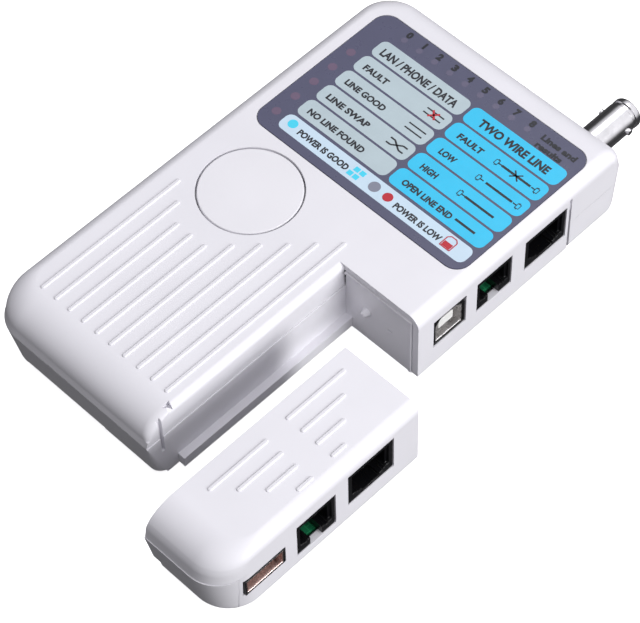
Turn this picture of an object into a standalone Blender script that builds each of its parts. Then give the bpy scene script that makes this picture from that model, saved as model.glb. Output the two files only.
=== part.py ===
"""Network cable tester: a main unit with a detachable remote unit beside it.

All sizes are in millimetres and are scaled to metres where a mesh is made. X runs across the main
unit towards the side with the sockets, Y runs along it towards the coaxial connector, and Z is up
out of the label face. The origin is the middle of the main unit's underside. The remote unit is
modelled in its docked place and carried to where it lies by its parent empty.
"""

import math

import bmesh
import bpy
from mathutils import Matrix, Vector

MM = 0.001

# Main unit's case
BODY_WIDTH = 90.0
BODY_LENGTH = 153.2
HEIGHT = 25.0
SEAM_Z = 16.5
WALL = 2.0
GAP = 0.3
CORNER_RADIUS = 11.0
PORT_CORNER_RADIUS = 4.0
LOWER_TAPER = 3.0
BACK_LOWER_TAPER = 1.5
BOTTOM_FILLET = 3.0
UPPER_LEAN = 0.7
SIDE_FILLET = 4.0
END_FILLET_HEIGHT = 6.5
FRONT_FILLET_LENGTH = 10.5
BACK_FILLET_LENGTH = 8.0

# Socket wall, and the bay that the remote unit docks in
PORT_FACE_X = 42.5
PORT_WALL = 2.0
PORT_FILLET = 3.5
PORT_WALL_FOOT = 0.4
PORT_WALL_END_Y = 53.9
PORT_FOOT_FILLET = 1.5
PORT_GROOVE_WIDTH = 0.8
PORT_GROOVE_DEPTH = 0.7
SKIRT_Z = 11.0
BAY_X = 16.2
BAY_Y = -4.9
LEDGE_WIDTH = 2.4
LEDGE_HEIGHT = 4.2
LEDGE_START_Y = -66.8
BAY_FILLET = 2.0
LIP_Y = -71.9
LIP_TOP_RADIUS = 2.8
LIP_FOOT_RADIUS = 3.0
LIP_GROOVE_DEPTH = 1.2
LIP_GROOVE_WIDTH = 1.1
LIP_GROOVE_FOOT_Z = 10.4
PEG_X = 24.0
PEG_Z = 12.0
PEG_RADIUS = 2.2
PEG_LENGTH = 2.5

# Remote unit, and how far from its dock it lies
DOCK_GAP = 0.5
REMOTE_OFFSET = (17.5, -17.9, 0.0)
REMOTE_CORNER = 10.0
REMOTE_SIDE_WALL = 3.2

# Label face
LABEL_X = (-37.5, 39.2)
LABEL_Y = (13.2, 66.4)
LABEL_CORNER = 4.5
LABEL_RECESS = 0.6
LABEL_THICKNESS = 0.35
PIN_LED_START_X = -26.4
PIN_LED_PITCH = 5.72
PIN_LED_Y = 61.6
STATUS_LED_X = -33.8
STATUS_LED_START_Y = 47.7
STATUS_LED_PITCH = 7.15
BATTERY_LED = (3.6, 19.1)
LED_RADIUS = 1.5
LED_HOLE_RADIUS = 1.9

# Test button
BUTTON_X = -19.4
BUTTON_Y = -4.6
BUTTON_RADIUS = 14.4
BUTTON_FLANGE_RADIUS = 15.8
BUTTON_GAP = 0.35

# Grip ribs
RIB_COUNT = 10
RIB_START_X = -35.6
RIB_PITCH = 5.19
RIB_FOOT_Y = -64.8
RIB_SHORT_END_Y = -25.4
RIB_WIDTH = 1.3
RIB_HEIGHT = 0.35

# Circuit boards
BOARD_Z = 5.4
BOARD_THICKNESS = 1.6
BOARD_TOP = BOARD_Z + BOARD_THICKNESS

# Sockets: middle along Y, width, lowest and highest point
MAIN_LAN = (44.6, 15.8, 7.3, 19.0)
MAIN_PHONE = (24.4, 13.0, 7.3, 18.8)
USB_B = (7.2, 11.8, 7.9, 18.5)
REMOTE_LAN = (-22.7, 15.9, 7.3, 19.9)
REMOTE_PHONE = (-42.3, 13.2, 4.6, 17.4)
USB_A = (-60.4, 13.8, 7.4, 13.6)
JACK_BACK_X = 27.0
JACK_FACE_X = 42.3
CONTACT_PITCH = 1.02

# Coaxial connector
BNC_X = 29.3
BNC_Z = 13.0
BNC_RADIUS = 4.8
BNC_END_Y = 93.7
BNC_START_Y = 70.6

# Battery and its door
BATTERY_X = (-32.2, -5.8)
BATTERY_Y = (-71.4, -23.1)
BATTERY_Z = (3.4, 20.8)
DOOR_X = (-34.0, -4.0)
DOOR_Y = (-71.5, -25.0)
DOOR_Z = (0.2, 1.9)
DOOR_RAIL = 1.2
DOOR_RAIL_Z = (1.5, 3.0)

# Case screws
MAIN_SCREWS = ((-37.0, -20.5), (9.0, -68.0), (-36.0, 66.0), (36.6, 56.5))
REMOTE_SCREWS = ((23.2, -67.0), (23.2, -13.2))
SCREW_HEAD_RADIUS = 2.4
SCREW_SHANK_RADIUS = 1.0
BOSS_RADIUS = 3.5
BOSS_JOINT_Z = 14.0

COLOURS = {
    "case": ((0.86, 0.85, 0.89), 0.38, 0.0),
    "label": ((0.10, 0.12, 0.17), 0.3, 0.0),
    "board": ((0.02, 0.22, 0.10), 0.45, 0.0),
    "jack": ((0.015, 0.015, 0.018), 0.4, 0.0),
    "metal": ((0.78, 0.78, 0.80), 0.22, 1.0),
    "gold": ((0.85, 0.62, 0.25), 0.25, 1.0),
    "white": ((0.85, 0.85, 0.83), 0.5, 0.0),
    "lens": ((0.55, 0.12, 0.12), 0.2, 0.0),
    "chip": ((0.03, 0.03, 0.035), 0.5, 0.0),
    "battery": ((0.10, 0.11, 0.14), 0.4, 0.0),
    "red_wire": ((0.6, 0.03, 0.03), 0.5, 0.0),
    "black_wire": ((0.02, 0.02, 0.02), 0.5, 0.0),
    "steel": ((0.55, 0.56, 0.58), 0.35, 1.0),
}


def clear_scene():
    for obj in list(bpy.data.objects):
        bpy.data.objects.remove(obj, do_unlink=True)


def material_for(name, kind):
    colour, roughness, metallic = COLOURS[kind]
    material = bpy.data.materials.new(name)
    material.use_nodes = True
    shader = material.node_tree.nodes["Principled BSDF"]
    shader.inputs["Base Color"].default_value = (*colour, 1.0)
    shader.inputs["Roughness"].default_value = roughness
    shader.inputs["Metallic"].default_value = metallic
    return material


def object_from(name, mesh_builder, kind=None):
    """An object made from the bmesh that is passed; without a kind it is a hidden cutter."""
    bmesh.ops.recalc_face_normals(mesh_builder, faces=mesh_builder.faces)
    bmesh.ops.scale(mesh_builder, vec=(MM, MM, MM), verts=mesh_builder.verts)
    mesh = bpy.data.meshes.new(name)
    mesh_builder.to_mesh(mesh)
    mesh_builder.free()
    obj = bpy.data.objects.new(name, mesh)
    bpy.context.scene.collection.objects.link(obj)
    if kind:
        mesh.materials.append(material_for(name, kind))
        mesh.shade_smooth()
        mesh.set_sharp_from_angle(angle=math.radians(35.0))
    else:
        obj.hide_render = True
        obj.display_type = "WIRE"
    return obj


def boolean(obj, operation, *others):
    for other in others:
        modifier = obj.modifiers.new(operation.lower(), "BOOLEAN")
        modifier.operation = operation
        modifier.solver = "EXACT"
        modifier.object = other
    return obj


def cut(obj, *others):
    return boolean(obj, "DIFFERENCE", *others)


def join(obj, *others):
    return boolean(obj, "UNION", *others)


def keep_inside(obj, *others):
    return boolean(obj, "INTERSECT", *others)


def box(name, x, y, z, kind=None):
    """A box from (low, high) pairs."""
    made = bmesh.new()
    bmesh.ops.create_cube(made, size=1.0)
    for vertex in made.verts:
        vertex.co = Vector(
            (x[vertex.co.x > 0], y[vertex.co.y > 0], z[vertex.co.z > 0])
        )
    return object_from(name, made, kind)


def loft(name, rings, kind=None):
    """A solid skinned through closed rings with the same number of points."""
    made = bmesh.new()
    rows = [[made.verts.new(point) for point in ring] for ring in rings]
    count = len(rings[0])
    for low, high in zip(rows, rows[1:]):
        for i in range(count):
            j = (i + 1) % count
            made.faces.new((low[i], low[j], high[j], high[i]))
    made.faces.new(list(reversed(rows[0])))
    made.faces.new(rows[-1])
    return object_from(name, made, kind)


def prism(name, outline, low, high, axis="z", kind=None):
    """A flat outline extruded along one axis; the outline's pair is the other two axes in order."""
    place = {
        "x": lambda a, b, c: (c, a, b),
        "y": lambda a, b, c: (a, c, b),
        "z": lambda a, b, c: (a, b, c),
    }[axis]
    return loft(name, [[place(a, b, level) for a, b in outline] for level in (low, high)], kind)


def turned(name, profile, centre, axis="z", kind=None, steps=24, hexagon=False):
    """A solid turned from (radius, height) points about an axis through the centre."""
    if hexagon:
        steps = 6
    made = bmesh.new()
    rows = []
    for radius, height in profile:
        if radius == 0:
            rows.append([made.verts.new((0.0, 0.0, height))])
            continue
        ring = []
        for i in range(steps):
            angle = 2 * math.pi * (i + 0.5) / steps
            ring.append(made.verts.new((radius * math.cos(angle), radius * math.sin(angle), height)))
        rows.append(ring)
    closed = profile[0][0] > 0
    pairs = list(zip(rows, rows[1:]))
    if closed:
        pairs.append((rows[-1], rows[0]))
    for low, high in pairs:
        for i in range(steps):
            j = (i + 1) % steps
            corners = [low[i % len(low)], low[j % len(low)], high[j % len(high)], high[i % len(high)]]
            made.faces.new(list(dict.fromkeys(corners)))
    turns = {
        "z": Matrix.Identity(4),
        "y": Matrix.Rotation(math.radians(-90.0), 4, "X"),
        "x": Matrix.Rotation(math.radians(90.0), 4, "Y"),
    }
    made.transform(Matrix.Translation(centre) @ turns[axis])
    return object_from(name, made, kind)


def rod(name, centre, radius, low, high, kind=None, steps=16, axis="z"):
    """A plain round bar; the centre's coordinate along the axis is left at 0."""
    return turned(name, [(0, low), (radius, low), (radius, high), (0, high)], centre, axis, kind, steps)


def arc(centre, radius, start, end, steps):
    points = []
    for i in range(steps + 1):
        angle = math.radians(start + (end - start) * i / steps)
        points.append((centre[0] + radius * math.cos(angle), centre[1] + radius * math.sin(angle)))
    return points


def rounded_outline(x, y, radius, steps=5):
    (x0, x1), (y0, y1) = x, y
    return (
        arc((x0 + radius, y0 + radius), radius, 180, 270, steps)
        + arc((x1 - radius, y0 + radius), radius, 270, 360, steps)
        + arc((x1 - radius, y1 - radius), radius, 0, 90, steps)
        + arc((x0 + radius, y1 - radius), radius, 90, 180, steps)
    )


def rounded_slab(name, x, y, z, radius, kind=None, steps=5):
    return prism(name, rounded_outline(x, y, radius, steps), z[0], z[1], "z", kind)


# Case surfaces


def upper_inset(height, fillet_length, fillet_height):
    """How far in the upper case is, at a height above the seam."""
    start = HEIGHT - SEAM_Z - fillet_height
    lean = UPPER_LEAN * min(height / start, 1.0)
    rise = max(height - start, 0.0) / fillet_height
    return lean + fillet_length * (1.0 - math.sqrt(max(1.0 - rise * rise, 0.0)))


def lower_inset(z, taper=LOWER_TAPER):
    """How far in the lower case is, at a height above the underside."""
    drop = max(BOTTOM_FILLET - z, 0.0)
    fillet = BOTTOM_FILLET - math.sqrt(BOTTOM_FILLET**2 - drop**2)
    return taper * (1.0 - z / SEAM_Z) + fillet


def port_inset(z):
    """How far in the upright socket side is: it is rounded only at its top and foot."""
    rise = max(z - HEIGHT + PORT_FILLET, 0.0)
    drop = max(PORT_FOOT_FILLET - z, 0.0)
    top = PORT_FILLET - math.sqrt(PORT_FILLET**2 - rise**2)
    return top + PORT_FOOT_FILLET - math.sqrt(PORT_FOOT_FILLET**2 - drop**2)


def upper_levels():
    start = HEIGHT - SEAM_Z - END_FILLET_HEIGHT
    steps = 6
    curve = [END_FILLET_HEIGHT * math.sin(math.radians(90.0 * i / steps)) for i in range(1, steps + 1)]
    return [0.0, start] + [start + rise for rise in curve]


def lower_levels():
    steps = 3
    curve = [BOTTOM_FILLET * (1.0 - math.cos(math.radians(90.0 * i / steps))) for i in range(steps + 1)]
    return curve + [SEAM_Z]


def body_ring(z, inset=0.0):
    """The main case's outline: its socket side is upright, and its other sides lean in."""
    if z > SEAM_Z:
        side = upper_inset(z - SEAM_Z, SIDE_FILLET, SIDE_FILLET)
        front = upper_inset(z - SEAM_Z, FRONT_FILLET_LENGTH, END_FILLET_HEIGHT)
        back = upper_inset(z - SEAM_Z, BACK_FILLET_LENGTH, END_FILLET_HEIGHT)
    else:
        side = front = lower_inset(z)
        back = lower_inset(z, BACK_LOWER_TAPER)
    x0 = -BODY_WIDTH / 2 + side + inset
    x1 = PORT_FACE_X - port_inset(z) - inset
    y0 = -BODY_LENGTH / 2 + front + inset
    y1 = BODY_LENGTH / 2 - back - inset
    wide = max(CORNER_RADIUS - side - inset, 2.0)
    small = max(PORT_CORNER_RADIUS - port_inset(z) - inset, 1.0)
    remote = max(REMOTE_CORNER - port_inset(z) - 1.6 * inset, 2.0)
    outline = arc((x0 + wide, y0 + wide), wide, 180, 270, 5)
    outline += arc((x1 - remote, y0 + remote), remote, 270, 360, 5)
    outline += arc((x1 - small, y1 - small), small, 0, 90, 5)
    outline += arc((x0 + wide, y1 - wide), wide, 90, 180, 5)
    return [(a, b, z) for a, b in outline]


def body_loft(name, levels, inset=0.0, kind=None):
    return loft(name, [body_ring(z, inset) for z in levels], kind)


def remote_ring(z):
    """The remote unit's outline: only the corner by its curved end and its sockets is round."""
    half_y = BODY_LENGTH / 2
    if z > SEAM_Z:
        front = upper_inset(z - SEAM_Z, FRONT_FILLET_LENGTH, END_FILLET_HEIGHT)
    else:
        front = lower_inset(z)
    side = port_inset(z)
    x0 = BAY_X + DOCK_GAP
    x1 = PORT_FACE_X - side
    y0 = -half_y + front
    y1 = BAY_Y - DOCK_GAP
    radius = REMOTE_CORNER - side
    outline = [(x0, y1), (x0, y0)] + arc((x1 - radius, y0 + radius), radius, 270, 360, 6) + [(x1, y1)]
    return [(a, b, z) for a, b in outline]


def upper_z_levels(start):
    return [start] + [SEAM_Z + height for height in upper_levels()[1:]]


def lower_z_levels(end):
    return lower_levels()[:-1] + [end]


def top_cavity_levels():
    ceiling = HEIGHT - WALL
    return [SKIRT_Z - 1.0] + [z for z in upper_z_levels(SEAM_Z) if z < ceiling - 0.5] + [ceiling]


def bay_corner_cutter(name, levels):
    """What rounds the upright edge where the curved end meets the bay."""
    rings = []
    for z in levels:
        if z > SEAM_Z:
            front = upper_inset(z - SEAM_Z, FRONT_FILLET_LENGTH, END_FILLET_HEIGHT)
            share = min((z - SEAM_Z) / 7.0, 1.0)
            radius = LIP_TOP_RADIUS * math.sin(math.pi / 2 * share)
        else:
            front = lower_inset(z)
            radius = LIP_FOOT_RADIUS * (1.0 - z / SEAM_Z)
        radius = max(radius, 0.1)
        y = -BODY_LENGTH / 2 + front
        centre = (BAY_X - radius, y + radius)
        start = [(-60.0, -40.0), (-60.0, y - 20.0), (centre[0] - 0.4, y - 0.2)]
        end = [(BAY_X + 0.2, centre[1] + 0.4), (BAY_X + 5.0, -40.0)]
        edge = arc(centre, radius, 276, 354, 4)
        rings.append([(a, b, z) for a, b in start + edge + end])
    block = box(name, (BAY_X - 4.0, BAY_X + 4.0), (-100.0, -60.0), (levels[0] + 0.01, levels[-1] - 0.01))
    return cut(block, loft(name + "_kept", rings))


def bay_edge_cutter(name):
    """What rounds the long upper edge of the bay's side."""
    centre = (BAY_X - BAY_FILLET, HEIGHT - BAY_FILLET)
    edge = arc(centre, BAY_FILLET, 0, 90, 4)
    outline = [(BAY_X + 1.0, centre[1])] + edge + [(centre[0], HEIGHT + 1.0), (BAY_X + 1.0, HEIGHT + 1.0)]
    return prism(name, outline, LIP_Y + 4.0, BAY_Y, "y")


def led_places():
    places = {}
    for i in range(9):
        places[f"pin_led_{i + 1}"] = (PIN_LED_START_X + PIN_LED_PITCH * i, PIN_LED_Y)
    for i in range(5):
        places[f"status_led_{i + 1}"] = (STATUS_LED_X, STATUS_LED_START_Y - STATUS_LED_PITCH * i)
    places["battery_led"] = BATTERY_LED
    return places


def socket_cutter(name, socket, margin=GAP):
    middle, width, low, high = socket
    half = width / 2 + margin
    return box(name, (30.0, 50.0), (middle - half, middle + half), (low - margin, high + margin))


# Main unit


def make_main_top_shell():
    """The upper case, with the socket wall down to the table and a skirt beside it."""
    levels = [SKIRT_Z + GAP / 2, SEAM_Z] + upper_z_levels(SEAM_Z)[1:]
    top = body_loft("main_top_shell", levels, kind="case")
    seam = SEAM_Z + GAP / 2
    inner_edge = PORT_FACE_X - PORT_WALL
    cut(top, box("cut_below_seam", (-60.0, inner_edge), (-100.0, 100.0), (0.0, seam)))
    groove_end = PORT_WALL_END_Y + PORT_GROOVE_WIDTH
    cut(top, box("cut_beside_skirt", (inner_edge - 1.0, 60.0), (-100.0, groove_end), (0.0, seam)))
    cavity = body_loft("cut_top_cavity", top_cavity_levels(), WALL)
    cut(cavity, box("keep_bay_wall", (BAY_X - WALL - 1.0, 60.0), (-100.0, BAY_Y), (10.0, 30.0)))
    cut(top, cavity)
    wall_y = (BAY_Y - 5.0, PORT_WALL_END_Y)
    wall_z = (PORT_WALL_FOOT, HEIGHT - PORT_FILLET - 1.0)
    join(top, box("join_port_wall", (inner_edge, PORT_FACE_X), wall_y, wall_z))
    groove_y = (PORT_WALL_END_Y, groove_end)
    groove_x = (PORT_FACE_X - PORT_GROOVE_DEPTH, 60.0)
    cut(top, box("cut_port_groove", groove_x, groove_y, (0.0, HEIGHT - PORT_FILLET)))
    cut(top, box("cut_bay_top", (BAY_X, 60.0), (-100.0, BAY_Y), (-5.0, 40.0)))
    cut(top, bay_edge_cutter("cut_bay_edge"))
    cut(top, bay_corner_cutter("cut_bay_corner_top", upper_z_levels(SEAM_Z)))
    cut(top, lip_groove("cut_lip_groove_top"))
    for name, socket in (("lan", MAIN_LAN), ("phone", MAIN_PHONE), ("usb_b", USB_B)):
        cut(top, socket_cutter(f"cut_{name}_window", socket))
    label_z = (HEIGHT - LABEL_RECESS, HEIGHT + 1.0)
    margin = GAP
    label_x = (LABEL_X[0] - margin, LABEL_X[1] + margin)
    label_y = (LABEL_Y[0] - margin, LABEL_Y[1] + margin)
    cut(top, rounded_slab("cut_label_recess", label_x, label_y, label_z, LABEL_CORNER + margin))
    for name, (x, y) in led_places().items():
        cut(top, rod(f"cut_{name}", (x, y, 0), LED_HOLE_RADIUS, 20.0, 30.0, steps=10))
    cut(top, rod("cut_button", (BUTTON_X, BUTTON_Y, 0), BUTTON_RADIUS + BUTTON_GAP, 20.0, 30.0, steps=48))
    cut(top, rod("cut_bnc", (BNC_X, 0, BNC_Z), BNC_RADIUS + GAP, 68.0, 90.0, steps=24, axis="y"))
    for i, (x, y) in enumerate(MAIN_SCREWS):
        join(top, rod(f"join_top_boss_{i}", (x, y, 0), 2.6, BOSS_JOINT_Z + GAP, HEIGHT - WALL + 0.5))
        cut(top, rod(f"cut_top_boss_{i}", (x, y, 0), SCREW_SHANK_RADIUS + GAP, 10.0, 20.5, steps=10))
    for i in range(RIB_COUNT):
        x = RIB_START_X + RIB_PITCH * i
        end = RIB_SHORT_END_Y + RIB_PITCH * max(2 - i, i - 4, 0)
        rib_x = (x - RIB_WIDTH / 2, x + RIB_WIDTH / 2)
        rib_y = (RIB_FOOT_Y, end)
        rib = rounded_slab(f"join_rib_{i}", rib_x, rib_y, (24.0, HEIGHT + RIB_HEIGHT), 0.6, steps=2)
        join(top, rib)
    return top


def lip_groove(name):
    """The upright groove beside the bay's outer corner."""
    y = (LIP_Y, LIP_Y + LIP_GROOVE_WIDTH)
    return box(name, (BAY_X - LIP_GROOVE_DEPTH, 60.0), y, (LIP_GROOVE_FOOT_Z, 40.0))


def make_main_bottom_shell():
    bottom = body_loft("main_bottom_shell", lower_z_levels(SEAM_Z - GAP / 2), kind="case")
    inner_edge = PORT_FACE_X - PORT_WALL - GAP
    port_y = (BAY_Y - 2.0, PORT_WALL_END_Y + PORT_GROOVE_WIDTH)
    join(bottom, box("join_port_floor", (25.0, inner_edge), port_y, (0.0, SEAM_Z - GAP / 2)))
    groove_end = PORT_WALL_END_Y + PORT_GROOVE_WIDTH
    cut(bottom, box("cut_port_side", (inner_edge, 60.0), (-100.0, groove_end), (-5.0, 30.0)))
    cut(bottom, box("cut_above_skirt", (inner_edge, 60.0), (40.0, 100.0), (SKIRT_Z - GAP / 2, 30.0)))
    cavity = body_loft("cut_bottom_cavity", [WALL] + lower_levels()[3:4] + [SEAM_Z + 1.0], WALL)
    port_space = box("join_cavity_ports", (20.0, 60.0), (BAY_Y + WALL, PORT_WALL_END_Y - WALL), (WALL, 30.0))
    join(cavity, port_space)
    cut(cavity, box("keep_bay_side", (BAY_X - WALL, 70.0), (-100.0, BAY_Y + WALL), (-5.0, 40.0)))
    cut(bottom, cavity)
    end_wall_x = (BAY_X + GAP, inner_edge)
    end_wall = box("join_end_wall", end_wall_x, (BAY_Y, BAY_Y + WALL), (10.0, HEIGHT - WALL - GAP))
    join(bottom, end_wall)
    cut(bottom, box("cut_bay_bottom", (BAY_X, 60.0), (-100.0, BAY_Y), (-5.0, 40.0)))
    cut(bottom, bay_corner_cutter("cut_bay_corner_low", lower_levels()))
    cut(bottom, lip_groove("cut_lip_groove_bottom"))
    ledge_x = (BAY_X - 0.5, BAY_X + LEDGE_WIDTH)
    join(bottom, box("join_ledge", ledge_x, (LEDGE_START_Y, BAY_Y + 0.5), (0.5, LEDGE_HEIGHT)))
    peg_profile = [(0, -PEG_LENGTH), (PEG_RADIUS * 0.6, -PEG_LENGTH), (PEG_RADIUS, 0.5), (0, 0.5)]
    join(bottom, turned("join_peg", peg_profile, (PEG_X, BAY_Y, PEG_Z), "y", steps=16))
    cut(bottom, rod("cut_bnc_low", (BNC_X, 0, BNC_Z), BNC_RADIUS + GAP, 68.0, 90.0, steps=24, axis="y"))
    for i, (x, y) in enumerate(MAIN_SCREWS):
        join(bottom, rod(f"join_bottom_boss_{i}", (x, y, 0), BOSS_RADIUS, 0.5, BOSS_JOINT_Z))
        cut(bottom, rod(f"cut_screw_{i}", (x, y, 0), SCREW_SHANK_RADIUS + GAP, -5.0, 20.0, steps=12))
        cut(bottom, rod(f"cut_screw_head_{i}", (x, y, 0), SCREW_HEAD_RADIUS + GAP, -5.0, 3.4, steps=16))
    for i, (x, y) in enumerate(((-30.0, -12.0), (8.0, -12.0), (-20.0, 40.0), (15.0, 40.0))):
        join(bottom, rod(f"join_board_post_{i}", (x, y, 0), 1.6, WALL - 0.5, BOARD_Z - GAP, steps=8))
    door_y = (-90.0, DOOR_Y[1] + GAP)
    cut(bottom, box("cut_door", (DOOR_X[0] - GAP, DOOR_X[1] + GAP), door_y, (-1.0, DOOR_RAIL_Z[1] + GAP)))
    rail_x = (DOOR_X[0] - DOOR_RAIL - GAP, DOOR_X[1] + DOOR_RAIL + GAP)
    rail_z = (DOOR_RAIL_Z[0] - GAP, DOOR_RAIL_Z[1] + GAP)
    cut(bottom, box("cut_door_rails", rail_x, (-90.0, DOOR_Y[0] + 1.5), rail_z))
    return bottom


def make_label():
    top = HEIGHT - LABEL_RECESS + GAP + LABEL_THICKNESS
    return rounded_slab(
        "label_overlay", LABEL_X, LABEL_Y, (HEIGHT - LABEL_RECESS + GAP, top), LABEL_CORNER, "label"
    )


def make_main_board():
    outline = [(-39.5, -15.6), (12.5, -15.6), (12.5, -2.2), (39.2, -2.2), (39.2, 58.0), (32.0, 70.4)]
    outline += [(-32.0, 70.4), (-39.5, 64.0)]
    board = prism("main_circuit_board", outline, BOARD_Z, BOARD_TOP, "z", "board")
    for i, (x, y) in enumerate(MAIN_SCREWS[2:]):
        cut(board, rod(f"cut_board_hole_{i}", (x, y, 0), BOSS_RADIUS + GAP, 0.0, 20.0))
    return board


def make_button():
    foot = BOARD_TOP + GAP
    cap_profile = [
        (0, 13.0),
        (2.6, 13.0),
        (2.6, 21.2),
        (BUTTON_FLANGE_RADIUS, 21.2),
        (BUTTON_FLANGE_RADIUS, 22.6),
        (BUTTON_RADIUS, 22.6),
        (BUTTON_RADIUS, HEIGHT - 0.4),
        (BUTTON_RADIUS - 0.4, HEIGHT),
        (0, HEIGHT),
    ]
    cap = turned("test_button_cap", cap_profile, (BUTTON_X, BUTTON_Y, 0), kind="case", steps=48)
    boss_x, boss_y = MAIN_SCREWS[0]
    assert math.hypot(boss_x - BUTTON_X, boss_y - BUTTON_Y) > BUTTON_FLANGE_RADIUS + 3.0
    plunger = rod("test_switch_plunger", (BUTTON_X, BUTTON_Y, 0), 1.75, 10.0, 12.7, "chip")
    for obj in (cap, plunger):
        set_pivot(obj, (BUTTON_X, BUTTON_Y, HEIGHT))
    x = (BUTTON_X - 3.0, BUTTON_X + 3.0)
    y = (BUTTON_Y - 3.0, BUTTON_Y + 3.0)
    body = box("test_switch_body", x, y, (foot, 10.9), "steel")
    cut(body, rod("cut_switch_bore", (BUTTON_X, BUTTON_Y, 0), 2.05, 8.7, 20.0))


def set_pivot(obj, point):
    """Moves the object's origin to the point and leaves its mesh where it is."""
    offset = Vector(point) * MM
    obj.data.transform(Matrix.Translation(-offset))
    obj.location = offset


# Sockets


def make_jack(prefix, socket, contact_count, cavity_width, notch_width, notch_open):
    middle, width, low, high = socket
    half = width / 2
    jack_y = (middle - half, middle + half)
    jack = box(f"{prefix}_jack", (JACK_BACK_X, JACK_FACE_X), jack_y, (low, high), "jack")
    floor = low + 2.9
    ceiling = high - 1.4
    reach = cavity_width / 2
    cavity_x = (JACK_BACK_X + 2.0, 50.0)
    cut(jack, box(f"cut_{prefix}_cavity", cavity_x, (middle - reach, middle + reach), (floor, ceiling)))
    notch_half = notch_width / 2
    notch_low = low - 1.0 if notch_open else low + 1.0
    notch_x = (JACK_FACE_X - 6.0, 50.0)
    notch_y = (middle - notch_half, middle + notch_half)
    cut(jack, box(f"cut_{prefix}_notch", notch_x, notch_y, (notch_low, floor + 0.5)))
    back = JACK_BACK_X + 2.0 + GAP
    carrier_y = (middle - reach + GAP, middle + reach - GAP)
    contacts = box(f"{prefix}_contacts", (back, back + 1.0), carrier_y, (floor + GAP, ceiling - GAP), "gold")
    for i in range(contact_count):
        y = middle + (i - (contact_count - 1) / 2) * CONTACT_PITCH
        tip = box(
            f"join_{prefix}_contact_{i}",
            (back + 0.5, back + 8.0),
            (y - 0.25, y + 0.25),
            (ceiling - GAP - 0.5, ceiling - GAP),
        )
        join(contacts, tip)
    return jack


def make_usb_b():
    middle, width, low, high = USB_B
    half = width / 2
    chamfer = 2.0

    def outline(inset):
        left, right = middle - half + inset, middle + half - inset
        bottom, top = low + inset, high - inset
        return [(left, bottom), (right, bottom), (right, top - chamfer), (right - chamfer, top),
                (left + chamfer, top), (left, top - chamfer)]

    shell = prism("usb_b_shell", outline(0.0), 26.0, JACK_FACE_X, "x", "metal")
    cut(shell, prism("cut_usb_b", outline(0.5), 27.0, 50.0, "x"))
    tongue = box("usb_b_tongue", (28.5, 41.0), (middle - 2.8, middle + 2.8), (low + 3.4, low + 6.6), "white")
    base = box("join_usb_b_base", (27.3, 29.5), (middle - 4.6, middle + 4.6), (low + 1.0, high - 2.8))
    join(tongue, base)


def make_usb_a():
    middle, width, low, high = USB_A
    half = width / 2
    shell_y = (middle - half, middle + half)
    shell = box("usb_a_shell", (27.0, PORT_FACE_X + 0.2), shell_y, (low, high), "metal")
    inner_y = (middle - half + 0.45, middle + half - 0.45)
    cut(shell, box("cut_usb_a", (28.0, 50.0), inner_y, (low + 0.45, high - 0.45)))
    tongue_y = (middle - 5.6, middle + 5.6)
    tongue = box("usb_a_tongue", (29.0, 41.2), tongue_y, (high - 2.9, high - 1.1), "white")
    base = box("join_usb_a_base", (28.3, 30.0), (middle - 5.9, middle + 5.9), (low + 0.9, high - 0.8))
    join(tongue, base)


def make_bnc():
    centre = (BNC_X, 0.0, BNC_Z)
    wall = 0.75
    barrel_profile = [
        (BNC_RADIUS - wall, BNC_START_Y),
        (BNC_RADIUS, BNC_START_Y),
        (BNC_RADIUS, BNC_END_Y - 0.5),
        (BNC_RADIUS - 0.3, BNC_END_Y),
        (BNC_RADIUS - wall, BNC_END_Y),
    ]
    barrel = turned("bnc_barrel", barrel_profile, centre, "y", "metal", 28)
    for name, side in (("near", -1), ("far", 1)):
        lug_x = sorted((BNC_X + side * (BNC_RADIUS - 0.4), BNC_X + side * (BNC_RADIUS + 0.7)))
        lug_place = (0, BNC_END_Y - 5.5, BNC_Z)
        join(barrel, rod(f"join_lug_{name}", lug_place, 0.95, lug_x[0], lug_x[1], steps=10, axis="x"))
    inner = BNC_RADIUS - wall - GAP
    insulator_profile = [
        (1.3, BNC_START_Y),
        (inner, BNC_START_Y),
        (inner, BNC_END_Y - 11.0),
        (2.4, BNC_END_Y - 11.0),
        (2.4, BNC_END_Y - 1.2),
        (1.3, BNC_END_Y - 1.2),
    ]
    turned("bnc_insulator", insulator_profile, centre, "y", "white", 20)
    contact_profile = [
        (0, BNC_START_Y - 4.0),
        (1.0, BNC_START_Y - 4.0),
        (1.0, BNC_END_Y - 2.0),
        (0.5, BNC_END_Y - 2.0),
        (0.5, BNC_END_Y - 8.0),
        (0, BNC_END_Y - 8.0),
    ]
    turned("bnc_center_contact", contact_profile, centre, "y", "gold", 14)
    nut_profile = [(0, 70.9), (6.8, 70.9), (6.8, 72.2), (0, 72.2)]
    nut = turned("bnc_lock_nut", nut_profile, centre, "y", "steel", hexagon=True)
    cut(nut, rod("cut_nut", centre, BNC_RADIUS + GAP, 70.0, 75.0, steps=28, axis="y"))
    x = (BNC_X - 5.2, BNC_X + 4.0)
    block = box("bnc_rear_block", x, (58.5, BNC_START_Y - GAP), (BOARD_TOP + GAP, 17.8), "chip")
    cut(block, rod("cut_rear_block", centre, 1.0 + GAP, 60.0, 80.0, steps=14, axis="y"))


# Power


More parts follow.
